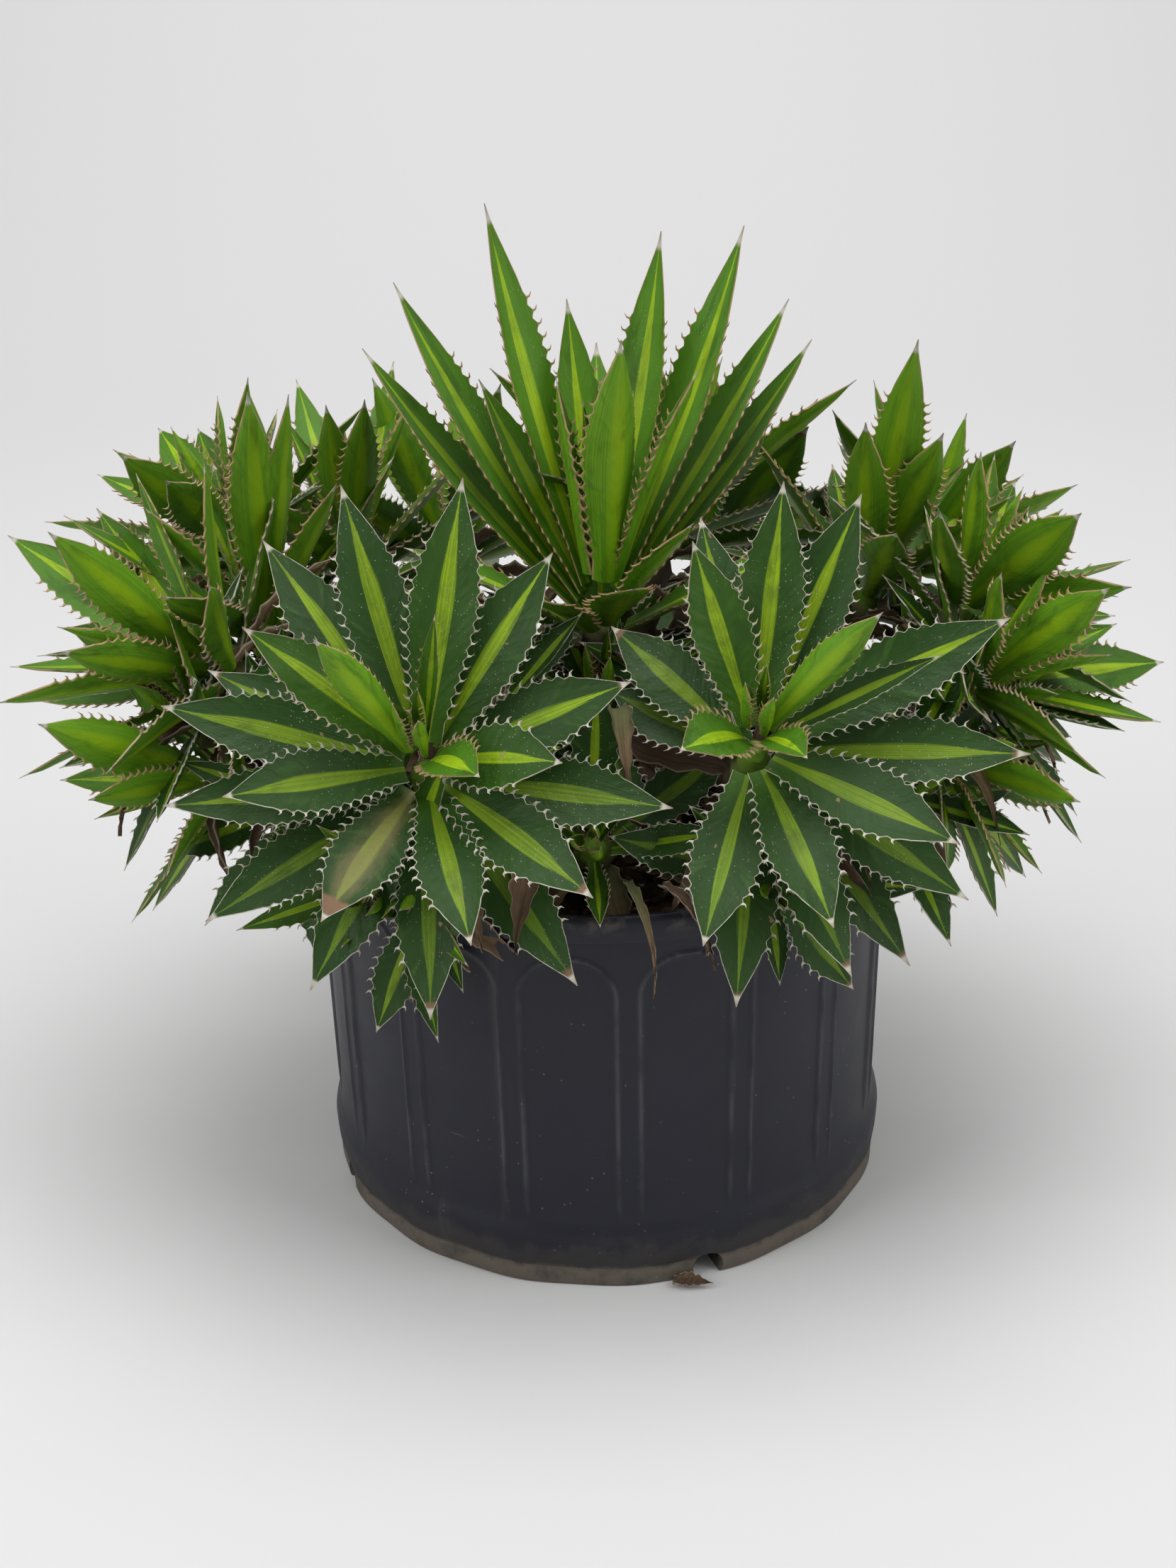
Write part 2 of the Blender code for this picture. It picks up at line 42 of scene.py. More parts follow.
# The rosettes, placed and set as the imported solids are: foot of the crown, lean from upright,
# compass of the lean (-90 is the front), where the stem leaves the soil, height of the crown.
# A leaf: clock round its rosette, opening at the foot and at the tip, length, width, any twist.
# grown fills the gaps: leaf count, first clock, inner and outer opening, length, width.
rosettes = {
    "front_left": dict(
        at=(-0.096, -0.148, 0.318), lean=36, toward=-93, root=(-0.078, -0.085), crown=40,
        leaves=(
            (20, 26, 20, 82, 14), (281, 20, 24, 104, 27), (137, 29, 75, 56, 30), (290, 42, 50, 116, 34),
            (13, 48, 56, 144, 38), (111, 49, 73, 86, 38), (40, 54, 60, 124, 38), (342, 57, 64, 148, 38),
            (248, 66, 74, 104, 36), (76, 68, 76, 112, 38), (278, 72, 78, 134, 38), (325, 73, 78, 150, 38),
            (135, 72, 82, 124, 38), (166, 74, 84, 110, 36), (207, 76, 86, 98, 38), (105, 78, 84, 128, 38),
            (296, 80, 82, 124, 34), (259, 82, 80, 130, 34), (145, 94, 106, 130, 36),
            (178, 96, 112, 120, 36), (238, 94, 98, 128, 36), (210, 98, 110, 116, 36),
        ),
    ),
    "front_right": dict(
        at=(0.082, -0.148, 0.326), lean=36, toward=-87, root=(0.072, -0.085), crown=40,
        leaves=(
            (75, 28, 38, 100, 27), (149, 28, 70, 48, 24), (236, 32, 76, 60, 34), (335, 44, 50, 104, 34),
            (8, 50, 56, 130, 36), (82, 52, 60, 104, 18), (28, 56, 62, 136, 38), (72, 66, 74, 142, 40),
            (349, 70, 74, 122, 36), (128, 74, 82, 116, 38), (98, 78, 84, 136, 38), (163, 80, 94, 104, 38),
            (316, 82, 88, 96, 36), (197, 85, 98, 106, 38), (300, 90, 94, 76, 34), (127, 91, 100, 126, 38),
            (161, 92, 101, 120, 34), (186, 101, 116, 122, 36), (141, 103, 116, 126, 34),
        ),
    ),
    "rosette_centre": dict(
        at=(0.002, -0.002, 0.356), lean=4, toward=-90, root=(0.002, -0.002), crown=36,
        leaves=(
            (335, 7, 5, 102, 14), (275, 10, 6, 122, 26), (150, 9, 7, 154, 40), (97, 18, 24, 140, 32),
            (345, 20, 16, 164, 32), (33, 22, 14, 206, 34), (315, 24, 16, 230, 34), (57, 30, 20, 224, 40),
            (302, 30, 32, 140, 34), (67, 38, 30, 200, 40), (295, 38, 28, 216, 40), (130, 36, 44, 88, 38),
            (69, 44, 36, 192, 36), (288, 46, 36, 200, 36), (165, 44, 60, 70, 36), (0, 46, 40, 174, 38),
            (210, 50, 66, 92, 36), (252, 54, 62, 124, 36), (112, 56, 62, 124, 36),
        ),
    ),
    "rosette_left": dict(
        at=(-0.219, -0.029, 0.338), lean=52, toward=187, root=(-0.130, -0.015), crown=30,
        leaves=(
            (303, 47, 51, 138, 38), (281, 38, 42, 156, 38), (91, 32, 36, 140, 36), (77, 55, 63, 92, 36),
            (265, 50, 54, 114, 34), (238, 53, 57, 124, 34), (151, 42, 46, 134, 32),
            (142, 64, 72, 116, 36),
        ),
        grown=(16, 20, 14, 74, 124, 38),
    ),
    "rosette_left_low": dict(
        at=(-0.214, -0.056, 0.283), lean=70, toward=197, root=(-0.142, -0.040), crown=24,
        leaves=(
            (84, 25, 31, 124, 36), (261, 46, 54, 112, 26), (114, 37, 45, 108, 26), (135, 58, 70, 88, 24),
        ),
        grown=(10, 60, 22, 72, 96, 30),
    ),
    "rosette_left_back": dict(
        at=(-0.203, 0.029, 0.334), lean=10, toward=165, root=(-0.125, 0.035), crown=30,
        leaves=(
            (127, 26, 24, 158, 38), (342, 36, 34, 150, 38), (106, 26, 24, 150, 30),
            (323, 49, 53, 130, 36), (104, 40, 46, 120, 36),
        ),
        grown=(14, 150, 8, 80, 128, 36),
    ),
    "rosette_far_left": dict(
        at=(-0.225, 0.097, 0.372), lean=34, toward=155, root=(-0.125, 0.085), crown=28,
        leaves=(
            (115, 51, 55, 114, 36), (277, 44, 48, 120, 36), (106, 60, 64, 100, 34),
            (291, 47, 51, 110, 34), (299, 58, 62, 104, 34), (239, 42, 48, 104, 30),
        ),
        grown=(15, 80, 12, 88, 108, 34),
    ),
    "rosette_back_left": dict(
        at=(-0.156, 0.105, 0.352), lean=14, toward=120, root=(-0.090, 0.092), crown=28,
        leaves=(
            (313, 35, 35, 132, 30), (144, 38, 38, 122, 28), (333, 49, 51, 120, 30),
            (129, 40, 42, 130, 30), (350, 44, 42, 158, 32),
        ),
        grown=(14, 10, 8, 76, 122, 34),
    ),
    "rosette_right_back": dict(
        at=(0.166, 0.049, 0.345), lean=14, toward=20, root=(0.110, 0.045), crown=30,
        leaves=(
            (228, 31, 29, 178, 36), (238, 40, 40, 140, 36), (31, 60, 58, 128, 36, 80),
            (22, 62, 66, 124, 34), (209, 31, 36, 126, 36), (57, 64, 74, 88, 34),
        ),
        grown=(14, 200, 8, 80, 116, 36),
    ),
    "rosette_right": dict(
        at=(0.212, -0.002, 0.353), lean=38, toward=10, root=(0.132, -0.003), crown=30,
        leaves=(
            (279, 66, 69, 120, 38), (67, 56, 57, 132, 38), (76, 57, 59, 122, 36), (250, 52, 56, 138, 40),
            (46, 68, 70, 130, 36), (96, 62, 68, 102, 38),
        ),
        grown=(15, 330, 12, 80, 104, 38),
    ),
    "rosette_right_front": dict(
        at=(0.213, -0.048, 0.326), lean=52, toward=-12, root=(0.142, -0.042), crown=30,
        leaves=(
            (263, 35, 38, 122, 34), (77, 62, 70, 106, 36), (101, 58, 62, 140, 40), (226, 60, 70, 112, 36),
            (115, 84, 92, 108, 34),
        ),
        grown=(15, 45, 14, 80, 98, 36),
    ),
    "rosette_right_low": dict(
        at=(0.197, -0.062, 0.288), lean=74, toward=-30, root=(0.138, -0.058), crown=22,
        leaves=(
            (243, 30, 38, 112, 28), (124, 84, 92, 118, 34), (229, 53, 63, 120, 28),
            (234, 64, 74, 104, 26),
        ),
        grown=(9, 140, 24, 76, 88, 32),
    ),
    "pup_front": dict(
        at=(-0.112, -0.156, 0.268), lean=82, toward=-112, root=(-0.098, -0.114), crown=16,
        grown=(7, 205, 26, 92, 84, 22),
    ),
    "rosette_back": dict(
        at=(0.040, 0.118, 0.366), lean=18, toward=72, root=(0.018, 0.095), crown=28,
        grown=(16, 260, 8, 80, 146, 38),
    ),
    "rosette_rear_left": dict(
        at=(-0.098, 0.204, 0.322), lean=50, toward=114, root=(-0.070, 0.138), crown=28,
        grown=(18, 300, 14, 96, 138, 40),
    ),
    "rosette_rear_right": dict(
        at=(0.078, 0.204, 0.324), lean=48, toward=72, root=(0.050, 0.138), crown=28,
        grown=(18, 100, 14, 96, 138, 42),
    ),
    "rosette_far_right": dict(
        at=(0.204, 0.128, 0.338), lean=42, toward=36, root=(0.118, 0.094), crown=28,
        grown=(16, 30, 12, 92, 122, 38),
    ),
}
uphill = np.array((0.0, 0.41, 0.91))  # clock hour 0 of a rosette points this way
goldenTurn = 137.5
elbowRoom = 17  # degrees a gap-filling leaf keeps from a listed one
leafFoot = 0.0016  # how far a leaf's foot stands off the crown's skin

soilTop = 0.226
dice = random.Random(11)


# Small helpers

def unit(v):
    return v / np.linalg.norm(v, axis=-1, keepdims=True)


def ease(low, high, x):
    share = np.clip((x - low) / (high - low), 0, 1)
    return share * share * (3 - 2 * share)


def deselectAll():
    if bpy.context.mode != "OBJECT":
        bpy.ops.object.mode_set(mode="OBJECT")
    for thing in bpy.context.selected_objects:
        thing.select_set(False)


def pick(*things):
    deselectAll()
    for thing in things:
        thing.select_set(True)
    bpy.context.view_layer.objects.active = things[0]


def applyAll(thing):
    pick(thing)
    for modifier in list(thing.modifiers):
        bpy.ops.object.modifier_apply(modifier=modifier.name)


def coordsOf(mesh):
    co = np.empty(len(mesh.vertices) * 3)
    mesh.vertices.foreach_get("co", co)
    return co.reshape(-1, 3)


def setCoords(mesh, co):
    mesh.vertices.foreach_set("co", np.ascontiguousarray(co).reshape(-1))
    mesh.update()


def writeNote(mesh, name, values):
    # a number or a vector on every point, for the material to read
    kind, field = ("FLOAT", "value") if values.ndim == 1 else ("FLOAT_VECTOR", "vector")
    note = mesh.attributes.new(name, kind, "POINT")
    note.data.foreach_set(field, np.ascontiguousarray(values, dtype=np.float32).reshape(-1))


def selectEdges(mesh, wanted):
    # in object mode: selects only the edges whose two ends pass the test, by place
    co = coordsOf(mesh)
    for part in (*mesh.vertices, *mesh.polygons):
        part.select = False
    for edge in mesh.edges:
        a, b = edge.vertices
        edge.select = bool(wanted(co[a], co[b]))
        if edge.select:
            mesh.vertices[a].select = mesh.vertices[b].select = True


def beyond(limit):
    # a test for selectEdges: both ends further from the upright axis than this
    return lambda a, b: min(math.hypot(a[0], a[1]), math.hypot(b[0], b[1])) > limit


def editMode(kind="EDGE"):
    bpy.ops.object.mode_set(mode="EDIT")
    bpy.ops.mesh.select_mode(type=kind)


def added(name, operator, **settings):
    deselectAll()
    operator(**settings)
    thing = bpy.context.object
    thing.name = name
    return thing


def objectMode():
    bpy.ops.object.mode_set(mode="OBJECT")


def draw(x=0, y=0, z=0):
    # extrude what is selected
    bpy.ops.mesh.extrude_region_move(TRANSFORM_OT_translate={"value": (x, y, z)})


def turnFacesOut():
    bpy.ops.mesh.select_all(action="SELECT")
    bpy.ops.mesh.normals_make_consistent(inside=False)
    objectMode()


def copyOf(master, name):
    thing = bpy.data.objects.new(name, master.data.copy())
    bpy.context.scene.collection.objects.link(thing)
    return thing


def thickened(thing, offset):
    thicken = thing.modifiers.new("thicken", "SOLIDIFY")
    thicken.thickness = 1.0
    thicken.offset = offset
    applyAll(thing)
    return thing


def readAlong(s, stations, values):
    return np.column_stack([np.interp(s, stations, values[:, k]) for k in range(3)])


def smoothFaces(thing, degrees=None):
    pick(thing)
    if degrees is None:
        bpy.ops.object.shade_smooth()
    else:
        bpy.ops.object.shade_smooth_by_angle(angle=math.radians(degrees))


# Rosette plan: where each leaf starts and how it bows

def rosetteAxis(rosette):
    lean, toward = math.radians(rosette["lean"]), math.radians(rosette["toward"])
    axis = np.array((
        math.sin(lean) * math.cos(toward),
        math.sin(lean) * math.sin(toward),
        math.cos(lean),
    ))
    return axis


def wayOut(rosette, clock):
    # the rosette's axis, and the way out of it at this hour, in degrees
    axis = rosetteAxis(rosette)
    hour0 = unit(uphill - uphill.dot(axis) * axis)
    turn = math.radians(clock)
    return axis, math.cos(turn) * hour0 + math.sin(turn) * np.cross(hour0, axis)


def grownLeaves(count, first, inner, outer, length, width):
    leaves = []
    for i in range(count):
        age = i / (count - 1)
        opening = inner + (outer - inner) * age ** 0.8
        leaves.append((
            (first + goldenTurn * i) % 360,
            opening,
            opening + 14 * age - 4,
            length * (0.58 + 0.42 * min(1.0, 2.2 * age)),
            width * (0.45 + 0.55 * min(1.0, 1.8 * age)),
        ))
    return leaves


def leafHeading(leaf):
    turn, opening = math.radians(leaf[0]), math.radians((leaf[1] + leaf[2]) / 2)
    return np.array((
        math.sin(opening) * math.cos(turn),
        math.sin(opening) * math.sin(turn),
        math.cos(opening),
    ))


def leavesOf(rosette):
    # youngest and uppermost first
    handSet = list(rosette.get("leaves", ()))
    if "grown" not in rosette:
        return handSet
    clear = math.cos(math.radians(elbowRoom))
    placed = list(handSet)
    for leaf in grownLeaves(*rosette["grown"]):
        if all(leafHeading(leaf).dot(leafHeading(other)) <= clear for other in handSet):
            placed.append(leaf)
    return sorted(placed, key=lambda leaf: leaf[1])


def crownRadius(level):
    return 0.013 - 0.008 * level ** 1.5


rolledWidth = 27  # marks the rolled young leaves that show their backs


def ribOf(rosette, leaf, level):
    # the rib's points, and the ways up from and across the blade at each
    clock, start, end, length, width, *twist = leaf
    axis, out = wayOut(rosette, clock)
    foot = np.array(rosette["at"]) + axis * rosette["crown"] * mm * level
    foot = foot + out * (crownRadius(level) + leafFoot)
    count = blade["stations"]
    s = np.linspace(0, 1, count)
    angle = np.radians(start + (end - start) * s)[:, None]
    along = np.cos(angle) * axis + np.sin(angle) * out
    upper = np.sin(angle) * axis - np.cos(angle) * out
    # an open blade also turns its face to the open side of its rosette
    toward = math.radians(rosette["toward"])
    faceWay = unit(np.array((math.cos(toward), math.sin(toward), 0.45))) * min(1.0, rosette["lean"] / 30)
    facing = faceWay - (along @ faceWay)[:, None] * along
    turned = blade["openTurn"] * float(ease(*blade["openFrom"], start))
    upper = -facing if width == rolledWidth else upper + facing * turned
    upper = unit(upper)
    turn = np.radians(sum(twist) * s)[:, None]
    normal = np.cos(turn) * upper + np.sin(turn) * np.cross(along, upper)
    middle = np.radians(start + (end - start) * (s[:-1] + 0.5 / (count - 1)))[:, None]
    steps = (np.cos(middle) * axis + np.sin(middle) * out) * length * mm / (count - 1)
    points = foot + np.vstack((np.zeros(3), np.cumsum(steps, axis=0)))
    return s, points, normal, np.cross(along, normal)


# Blades: four master blades with 8 to 19 teeth a side, copied and bent to every leaf

blade = dict(
    outline=(  # share of the length, half width as a share of its most
        (0.00, 0.46), (0.08, 0.50), (0.18, 0.62), (0.30, 0.80), (0.42, 0.95), (0.52, 1.00),
        (0.61, 0.95), (0.70, 0.81), (0.78, 0.62), (0.85, 0.41), (0.90, 0.25), (0.94, 0.12),
        (0.97, 0.05), (1.00, 0.0),
    ),
    columns=(-1.0, -0.94, -0.70, -0.35, 0.0, 0.35, 0.70, 0.94, 1.0),
    teethFrom=0.08,
    teethTo=0.76,
    toothCell=(0.0, 0.22, 0.42, 0.64),  # rows of one tooth, as shares of the pitch
    toothReach=(0.18, 0.47),  # in centimetres: where the tooth narrows, and its point
    toothHook=(0.3, 2.1),  # mm towards the leaf's tip at each of them
    scallop=1.0,  # mm the margin swells at each tooth
    horn=0.8,  # mm of horny margin
    thick=3.0,
    edgeThick=0.62,
    cupping=0.30,  # radians that the section curves up to each edge
    stations=33,  # points along a leaf's rib
    openFrom=(34, 52),  # degrees of opening over which a leaf becomes an open one
    openTurn=0.85,
    ageing=dict(front=1.0, shoot=1.0, rosette=0.6, pup=0.6, centre=0.5),
)


# shorter than this: teeth a side, and the length that their points are drawn for
bladeSizes = ((95, 8, 85), (125, 11, 110), (170, 14, 148), (999, 19, 200))


def makeMaster(name, teeth, length):
    # flat, in shares: x is the half width and y the length, z is 0 above and -1 below
    pitch = (blade["teethTo"] - blade["teethFrom"]) / teeth
    rows = [0.0, 0.04]
    for k in range(teeth):
        rows += [blade["teethFrom"] + pitch * (k + cell) for cell in blade["toothCell"]]
    rows += [blade["teethTo"], 0.80, 0.84, 0.88, 0.91, 0.93, 0.945, 0.97, 0.994]
    columns = blade["columns"]
    thing = added(
        name, bpy.ops.mesh.primitive_grid_add,
        x_subdivisions=len(columns) - 1, y_subdivisions=len(rows) - 1, size=2,
    )
    co = coordsOf(thing.data)
    column = np.rint((co[:, 0] + 1) / 2 * (len(columns) - 1)).astype(int)
    row = np.rint((co[:, 1] + 1) / 2 * (len(rows) - 1)).astype(int)
    co[:, 0] = np.array(columns)[column]
    co[:, 1] = np.array(rows)[row]
    setCoords(thing.data, co)

    # teeth: the margin is drawn out, narrowed, drawn out again and closed to a point
    starts = [blade["teethFrom"] + pitch * (k + blade["toothCell"][2]) for k in range(teeth)]
    ends = [blade["teethFrom"] + pitch * (k + blade["toothCell"][3]) for k in range(teeth)]
    for side in (-1, 1):
        def toothFoot(a, b):
            if abs(a[0] - side) > 1e-4 or abs(b[0] - side) > 1e-4:
                return False
            low, high = min(a[1], b[1]), max(a[1], b[1])
            return any(abs(low - u) < 1e-4 and abs(high - v) < 1e-4 for u, v in zip(starts, ends))

        selectEdges(thing.data, toothFoot)
        editMode()
        low, high = blade["toothReach"]
        draw(side * low, blade["toothHook"][0] / length)
        objectMode()
        co = coordsOf(thing.data)
        for edge in thing.data.edges:
            if edge.select:
                a, b = edge.vertices
                middle = (co[a] + co[b]) / 2
                co[a] = middle + 0.42 * (co[a] - middle)
                co[b] = middle + 0.42 * (co[b] - middle)
        setCoords(thing.data, co)
        editMode()
        draw(side * (high - low), blade["toothHook"][1] / length)
        bpy.ops.mesh.merge(type="COLLAPSE")
        objectMode()

    editMode("VERT")
    turnFacesOut()
    facesUp = sum(face.normal.z for face in thing.data.polygons) > 0
    thickened(thing, -1.0 if facesUp else 1.0)
    print("master blade", name, len(thing.data.vertices), "points")
    return thing


def bladeHalf(s):
    shares, halves = zip(*blade["outline"])
    fine = np.linspace(0, 1, 201)
    table = np.interp(fine, shares, halves)
    kernel = np.ones(9) / 9
    padded = np.concatenate((np.full(4, table[0]), table, np.zeros(4)))
    return np.interp(s, fine, np.convolve(padded, kernel, "valid"))


def layLeaf(name, masters, rosette, leaf, level, worn=0.0):
    start, length, width = leaf[1], leaf[3], leaf[4]
    teeth = next(count for limit, count, _ in bladeSizes if length < limit)
    thing = copyOf(masters[teeth], name)
    mesh = thing.data
    co = coordsOf(mesh)
    x, s, under = co[:, 0], co[:, 1], co[:, 2] < -0.5
    side, reach = np.sign(x), np.abs(x)

    half = 0.5 * width * bladeHalf(s)
    pitch = (blade["teethTo"] - blade["teethFrom"]) / teeth
    wave = -np.cos(2 * np.pi * ((s - blade["teethFrom"]) / pitch - 0.03))
    inTeeth = ease(0.04, 0.14, s) * (1 - ease(0.70, 0.80, s))
    small = min(1.0, 0.45 + width / 60)
    scallop = blade["scallop"] * small * wave * inTeeth
    inner = np.maximum(half - blade["horn"] * small, 0.5 * half)
    across = np.where(reach < 0.8, reach * half, inner + 0.8 * scallop)
    across = np.where(reach > 0.97, half + scallop + (reach - 1) * 10 * small, across)

    young = float(np.clip(1 - start / 34, 0, 1))
    cup = blade["cupping"] + 0.75 * young
    if width == rolledWidth:
        cup = 1.25
    if width < 22:
        cup += 0.7
    bow = np.maximum(half, 0.4) / cup
    swing = np.minimum(across, half * 1.05) / bow
    beyond = across - np.minimum(across, half * 1.05)
    reachOut = bow * np.sin(swing) + beyond * np.cos(swing)
    rise = bow * (1 - np.cos(swing)) + beyond * np.sin(swing)

    share = np.clip(across / np.maximum(half, 0.3), 0, 1)
    body = blade["thick"] * (1.25 - 0.75 * s) * small * (1 - 0.9 * share ** 2) * ease(0, 6, half)
    skin = body + blade["edgeThick"] * np.where(reach > 1.3, 0.35, 1.0) * (0.35 + 0.65 * ease(0, 5, half))
    height = rise + 0.5 - np.where(under, skin, 0)
    height += np.where((share < 0.92) & ~under, -0.25, 0.0) * ease(2, 8, half)  # horn stands proud

    luck = random.Random(name)
    seed = luck.random()
    ripple = luck.uniform(0.25, 0.9) * small * share ** 2
    waves = np.sin(2 * np.pi * (s * luck.uniform(2.2, 4.0) + seed))
    height += ripple * waves * inTeeth * np.where(side < 0, 1, 0.7)
    sway = luck.uniform(-1.6, 1.6) * (s ** 2)

    stations, points, normal, crosswise = ribOf(rosette, leaf, level)
    place, normals, crosses = (readAlong(s, stations, part) for part in (points, normal, crosswise))
    co = place + crosses * (side * reachOut + sway)[:, None] * mm + normals * height[:, None] * mm
    setCoords(mesh, co)

    gap = np.where(reach > 0.97, -(reach - 1) * 10, half + scallop - across)
    writeNote(mesh, "bladePlace", np.column_stack((side * across / np.maximum(half, 0.3), s, gap)))
    kin = "centre" if name.startswith("rosette_centre") else name.split("_")[0]
    age = float(np.clip(start / 95, 0, 1)) * blade["ageing"][kin]
    writeNote(mesh, "bladeLife", np.tile((age, seed, worn), (len(co), 1)))
    writeNote(mesh, "bladeUpper", np.where(under, 0.0, 1.0))
    return thing


def joinPieces(name, things):
    pick(*things)
    if len(things) > 1:
        bpy.ops.object.join()
    whole = bpy.context.view_layer.objects.active
    whole.name = name
    whole.data.name = name
    return whole


# Node work: the helpers draw on this sheet, the node tree that is being made

sheet = None


def feed(socket, value):
    # a socket takes another socket's wire, or a value of its own
    if isinstance(value, bpy.types.NodeSocket):
        sheet.links.new(value, socket)
    elif socket.type == "RGBA":
        socket.default_value = (*value, 1)
    elif value is not None:
        socket.default_value = value


def put(kind, inputs=(), **settings):
    node = sheet.nodes.new("ShaderNode" + kind)
    for name, value in settings.items():
        setattr(node, name, value)
    for socket, value in (inputs.items() if isinstance(inputs, dict) else enumerate(inputs)):
        feed(node.inputs[socket], value)
    return node


def sums(operation, a, b=None, c=None, clamp=False):
    return put("Math", (a, b, c), operation=operation, use_clamp=clamp).outputs[0]


def times(a, b, clamp=False):
    return sums("MULTIPLY", a, b, clamp=clamp)


def plus(a, b, clamp=False):
    return sums("ADD", a, b, clamp=clamp)


def minus(a, b):
    return sums("SUBTRACT", a, b)


def timesPlus(a, b, c):
    return sums("MULTIPLY_ADD", a, b, c)


def ramp(value, low, high, start=0.0, end=1.0):
    # smooth step from start to end while value goes from low to high
    ends = {"Value": value, "From Min": low, "From Max": high, "To Min": start, "To Max": end}
    return put("MapRange", ends, interpolation_type="SMOOTHSTEP").outputs[0]


def blend(share, under, over):
    return put("Mix", {0: share, 6: under, 7: over}, data_type="RGBA").outputs[2]


def noise(vector, scale, detail=2.0, roughness=0.5):
    inputs = {"Vector": vector, "Scale": scale, "Detail": detail, "Roughness": roughness}
    return put("TexNoise", inputs).outputs["Fac"]


def stretched(vector, scale):
    return put("VectorMath", (vector, scale), operation="MULTIPLY").outputs[0]


def noted(name):
    return put("Attribute", attribute_name=name, attribute_type="GEOMETRY").outputs


def parts(vector):
    return put("SeparateXYZ", (vector,)).outputs


def inObject():
    return put("TexCoord").outputs["Object"]


def newGroup(name, inputs, outputs):
    global sheet
    sheet = group = bpy.data.node_groups.new(name, "ShaderNodeTree")
    for label, kind, value in inputs:
        socket = group.interface.new_socket(label, in_out="INPUT", socket_type="NodeSocket" + kind)
        if value is not None:
            socket.default_value = value
    for label, kind in outputs:
        group.interface.new_socket(label, in_out="OUTPUT", socket_type="NodeSocket" + kind)
    return group, group.nodes.new("NodeGroupInput"), group.nodes.new("NodeGroupOutput")


def useGroup(group, *values):
    return put("Group", values, node_tree=group).outputs


def newMaterial(name, roughness, specular):
    global sheet
    material = bpy.data.materials.new(name)
    material.use_nodes = True
    sheet = material.node_tree
    shader = sheet.nodes["Principled BSDF"].inputs
    feed(shader["Roughness"], roughness)
    feed(shader["Specular IOR Level"], specular)
    return material, shader


def bumped(shader, height, strength, distance):
    bump = put("Bump", {"Height": height, "Strength": strength, "Distance": distance})
    feed(shader["Normal"], bump.outputs[0])


def makeDustGroup():
    # pale specks and a thin haze of dust, by Object coordinates
    group, into, out = newGroup(
        "fineDust",
        (("Vector", "Vector", None), ("Speck Scale", "Float", 420.0), ("Speck Amount", "Float", 0.2),
         ("Haze Scale", "Float", 18.0), ("Haze Amount", "Float", 0.3)),
        (("Specks", "Float"), ("Haze", "Float")),
    )
    cells = put("TexVoronoi", {"Vector": into.outputs[0], "Scale": into.outputs[1], "Randomness": 1.0})
    near = ramp(cells.outputs["Distance"], 0.10, 0.26, 1.0, 0.0)
    chance = put("SeparateColor", (cells.outputs["Color"],)).outputs[0]
    limit = minus(1.0, into.outputs[2])
    kept = ramp(chance, limit, plus(limit, 0.05))
    patch = ramp(noise(into.outputs[0], 26.0, 3.0), 0.42, 0.62)
    specks = times(times(near, kept), patch, clamp=True)
    haze = ramp(noise(into.outputs[0], into.outputs[3], 5.0, 0.62), 0.36, 0.72)
    feed(out.inputs[0], specks)
    feed(out.inputs[1], times(haze, into.outputs[4], clamp=True))
    return group


def makeFibreGroup():
    # long fibres and darker stains, for stems, husks and dry leaves
    group, into, out = newGroup(
        "dryFibre",
        (("Vector", "Vector", None), ("Fibre Scale", "Float", 60.0), ("Stain Scale", "Float", 30.0)),
        (("Fibre", "Float"), ("Stain", "Float"), ("Height", "Float")),
    )
    fibre = noise(into.outputs[0], into.outputs[1], 6.0, 0.7)
    stain = ramp(noise(into.outputs[0], into.outputs[2], 4.0, 0.6), 0.38, 0.64)
    height = timesPlus(fibre, 0.8, times(stain, 0.2))
    for k, socket in enumerate((fibre, stain, height)):
        feed(out.inputs[k], socket)
    return group


# Leaf skin: dark green with a lime stripe, a pale horny margin, specks, scars and a dry tip

leafSkin = dict(
    dark=(0.012, 0.046, 0.004),
    fresh=(0.098, 0.258, 0.010),
    stripe=(0.270, 0.420, 0.006),
    stripeFresh=(0.360, 0.530, 0.010),
    back=(0.040, 0.120, 0.009),
    backFresh=(0.155, 0.345, 0.014),
    horn=(0.560, 0.530, 0.450),
    hornYoung=(0.400, 0.270, 0.140),
    spine=(0.300, 0.235, 0.185),
    dust=(0.420, 0.450, 0.360),
    scar=(0.235, 0.165, 0.080),
    dry=(0.200, 0.115, 0.065),
    mottle=(0.030, 0.082, 0.008),
    foot=(0.085, 0.215, 0.010),
    stripeOld=(0.065, 0.135, 0.010),
    stripeDim=(0.120, 0.225, 0.008),
    backLine=(0.030, 0.095, 0.010),
    backGlow=(0.270, 0.440, 0.008),
    printed=(0.052, 0.125, 0.016),
    shade=(0.012, 0.036, 0.005),
    gloom=(0.018, 0.056, 0.008),
    haze=(0.090, 0.130, 0.040),
    worn=(0.235, 0.185, 0.080),
    hornStain=(0.180, 0.105, 0.070),
    stripeHalf=0.215,
)


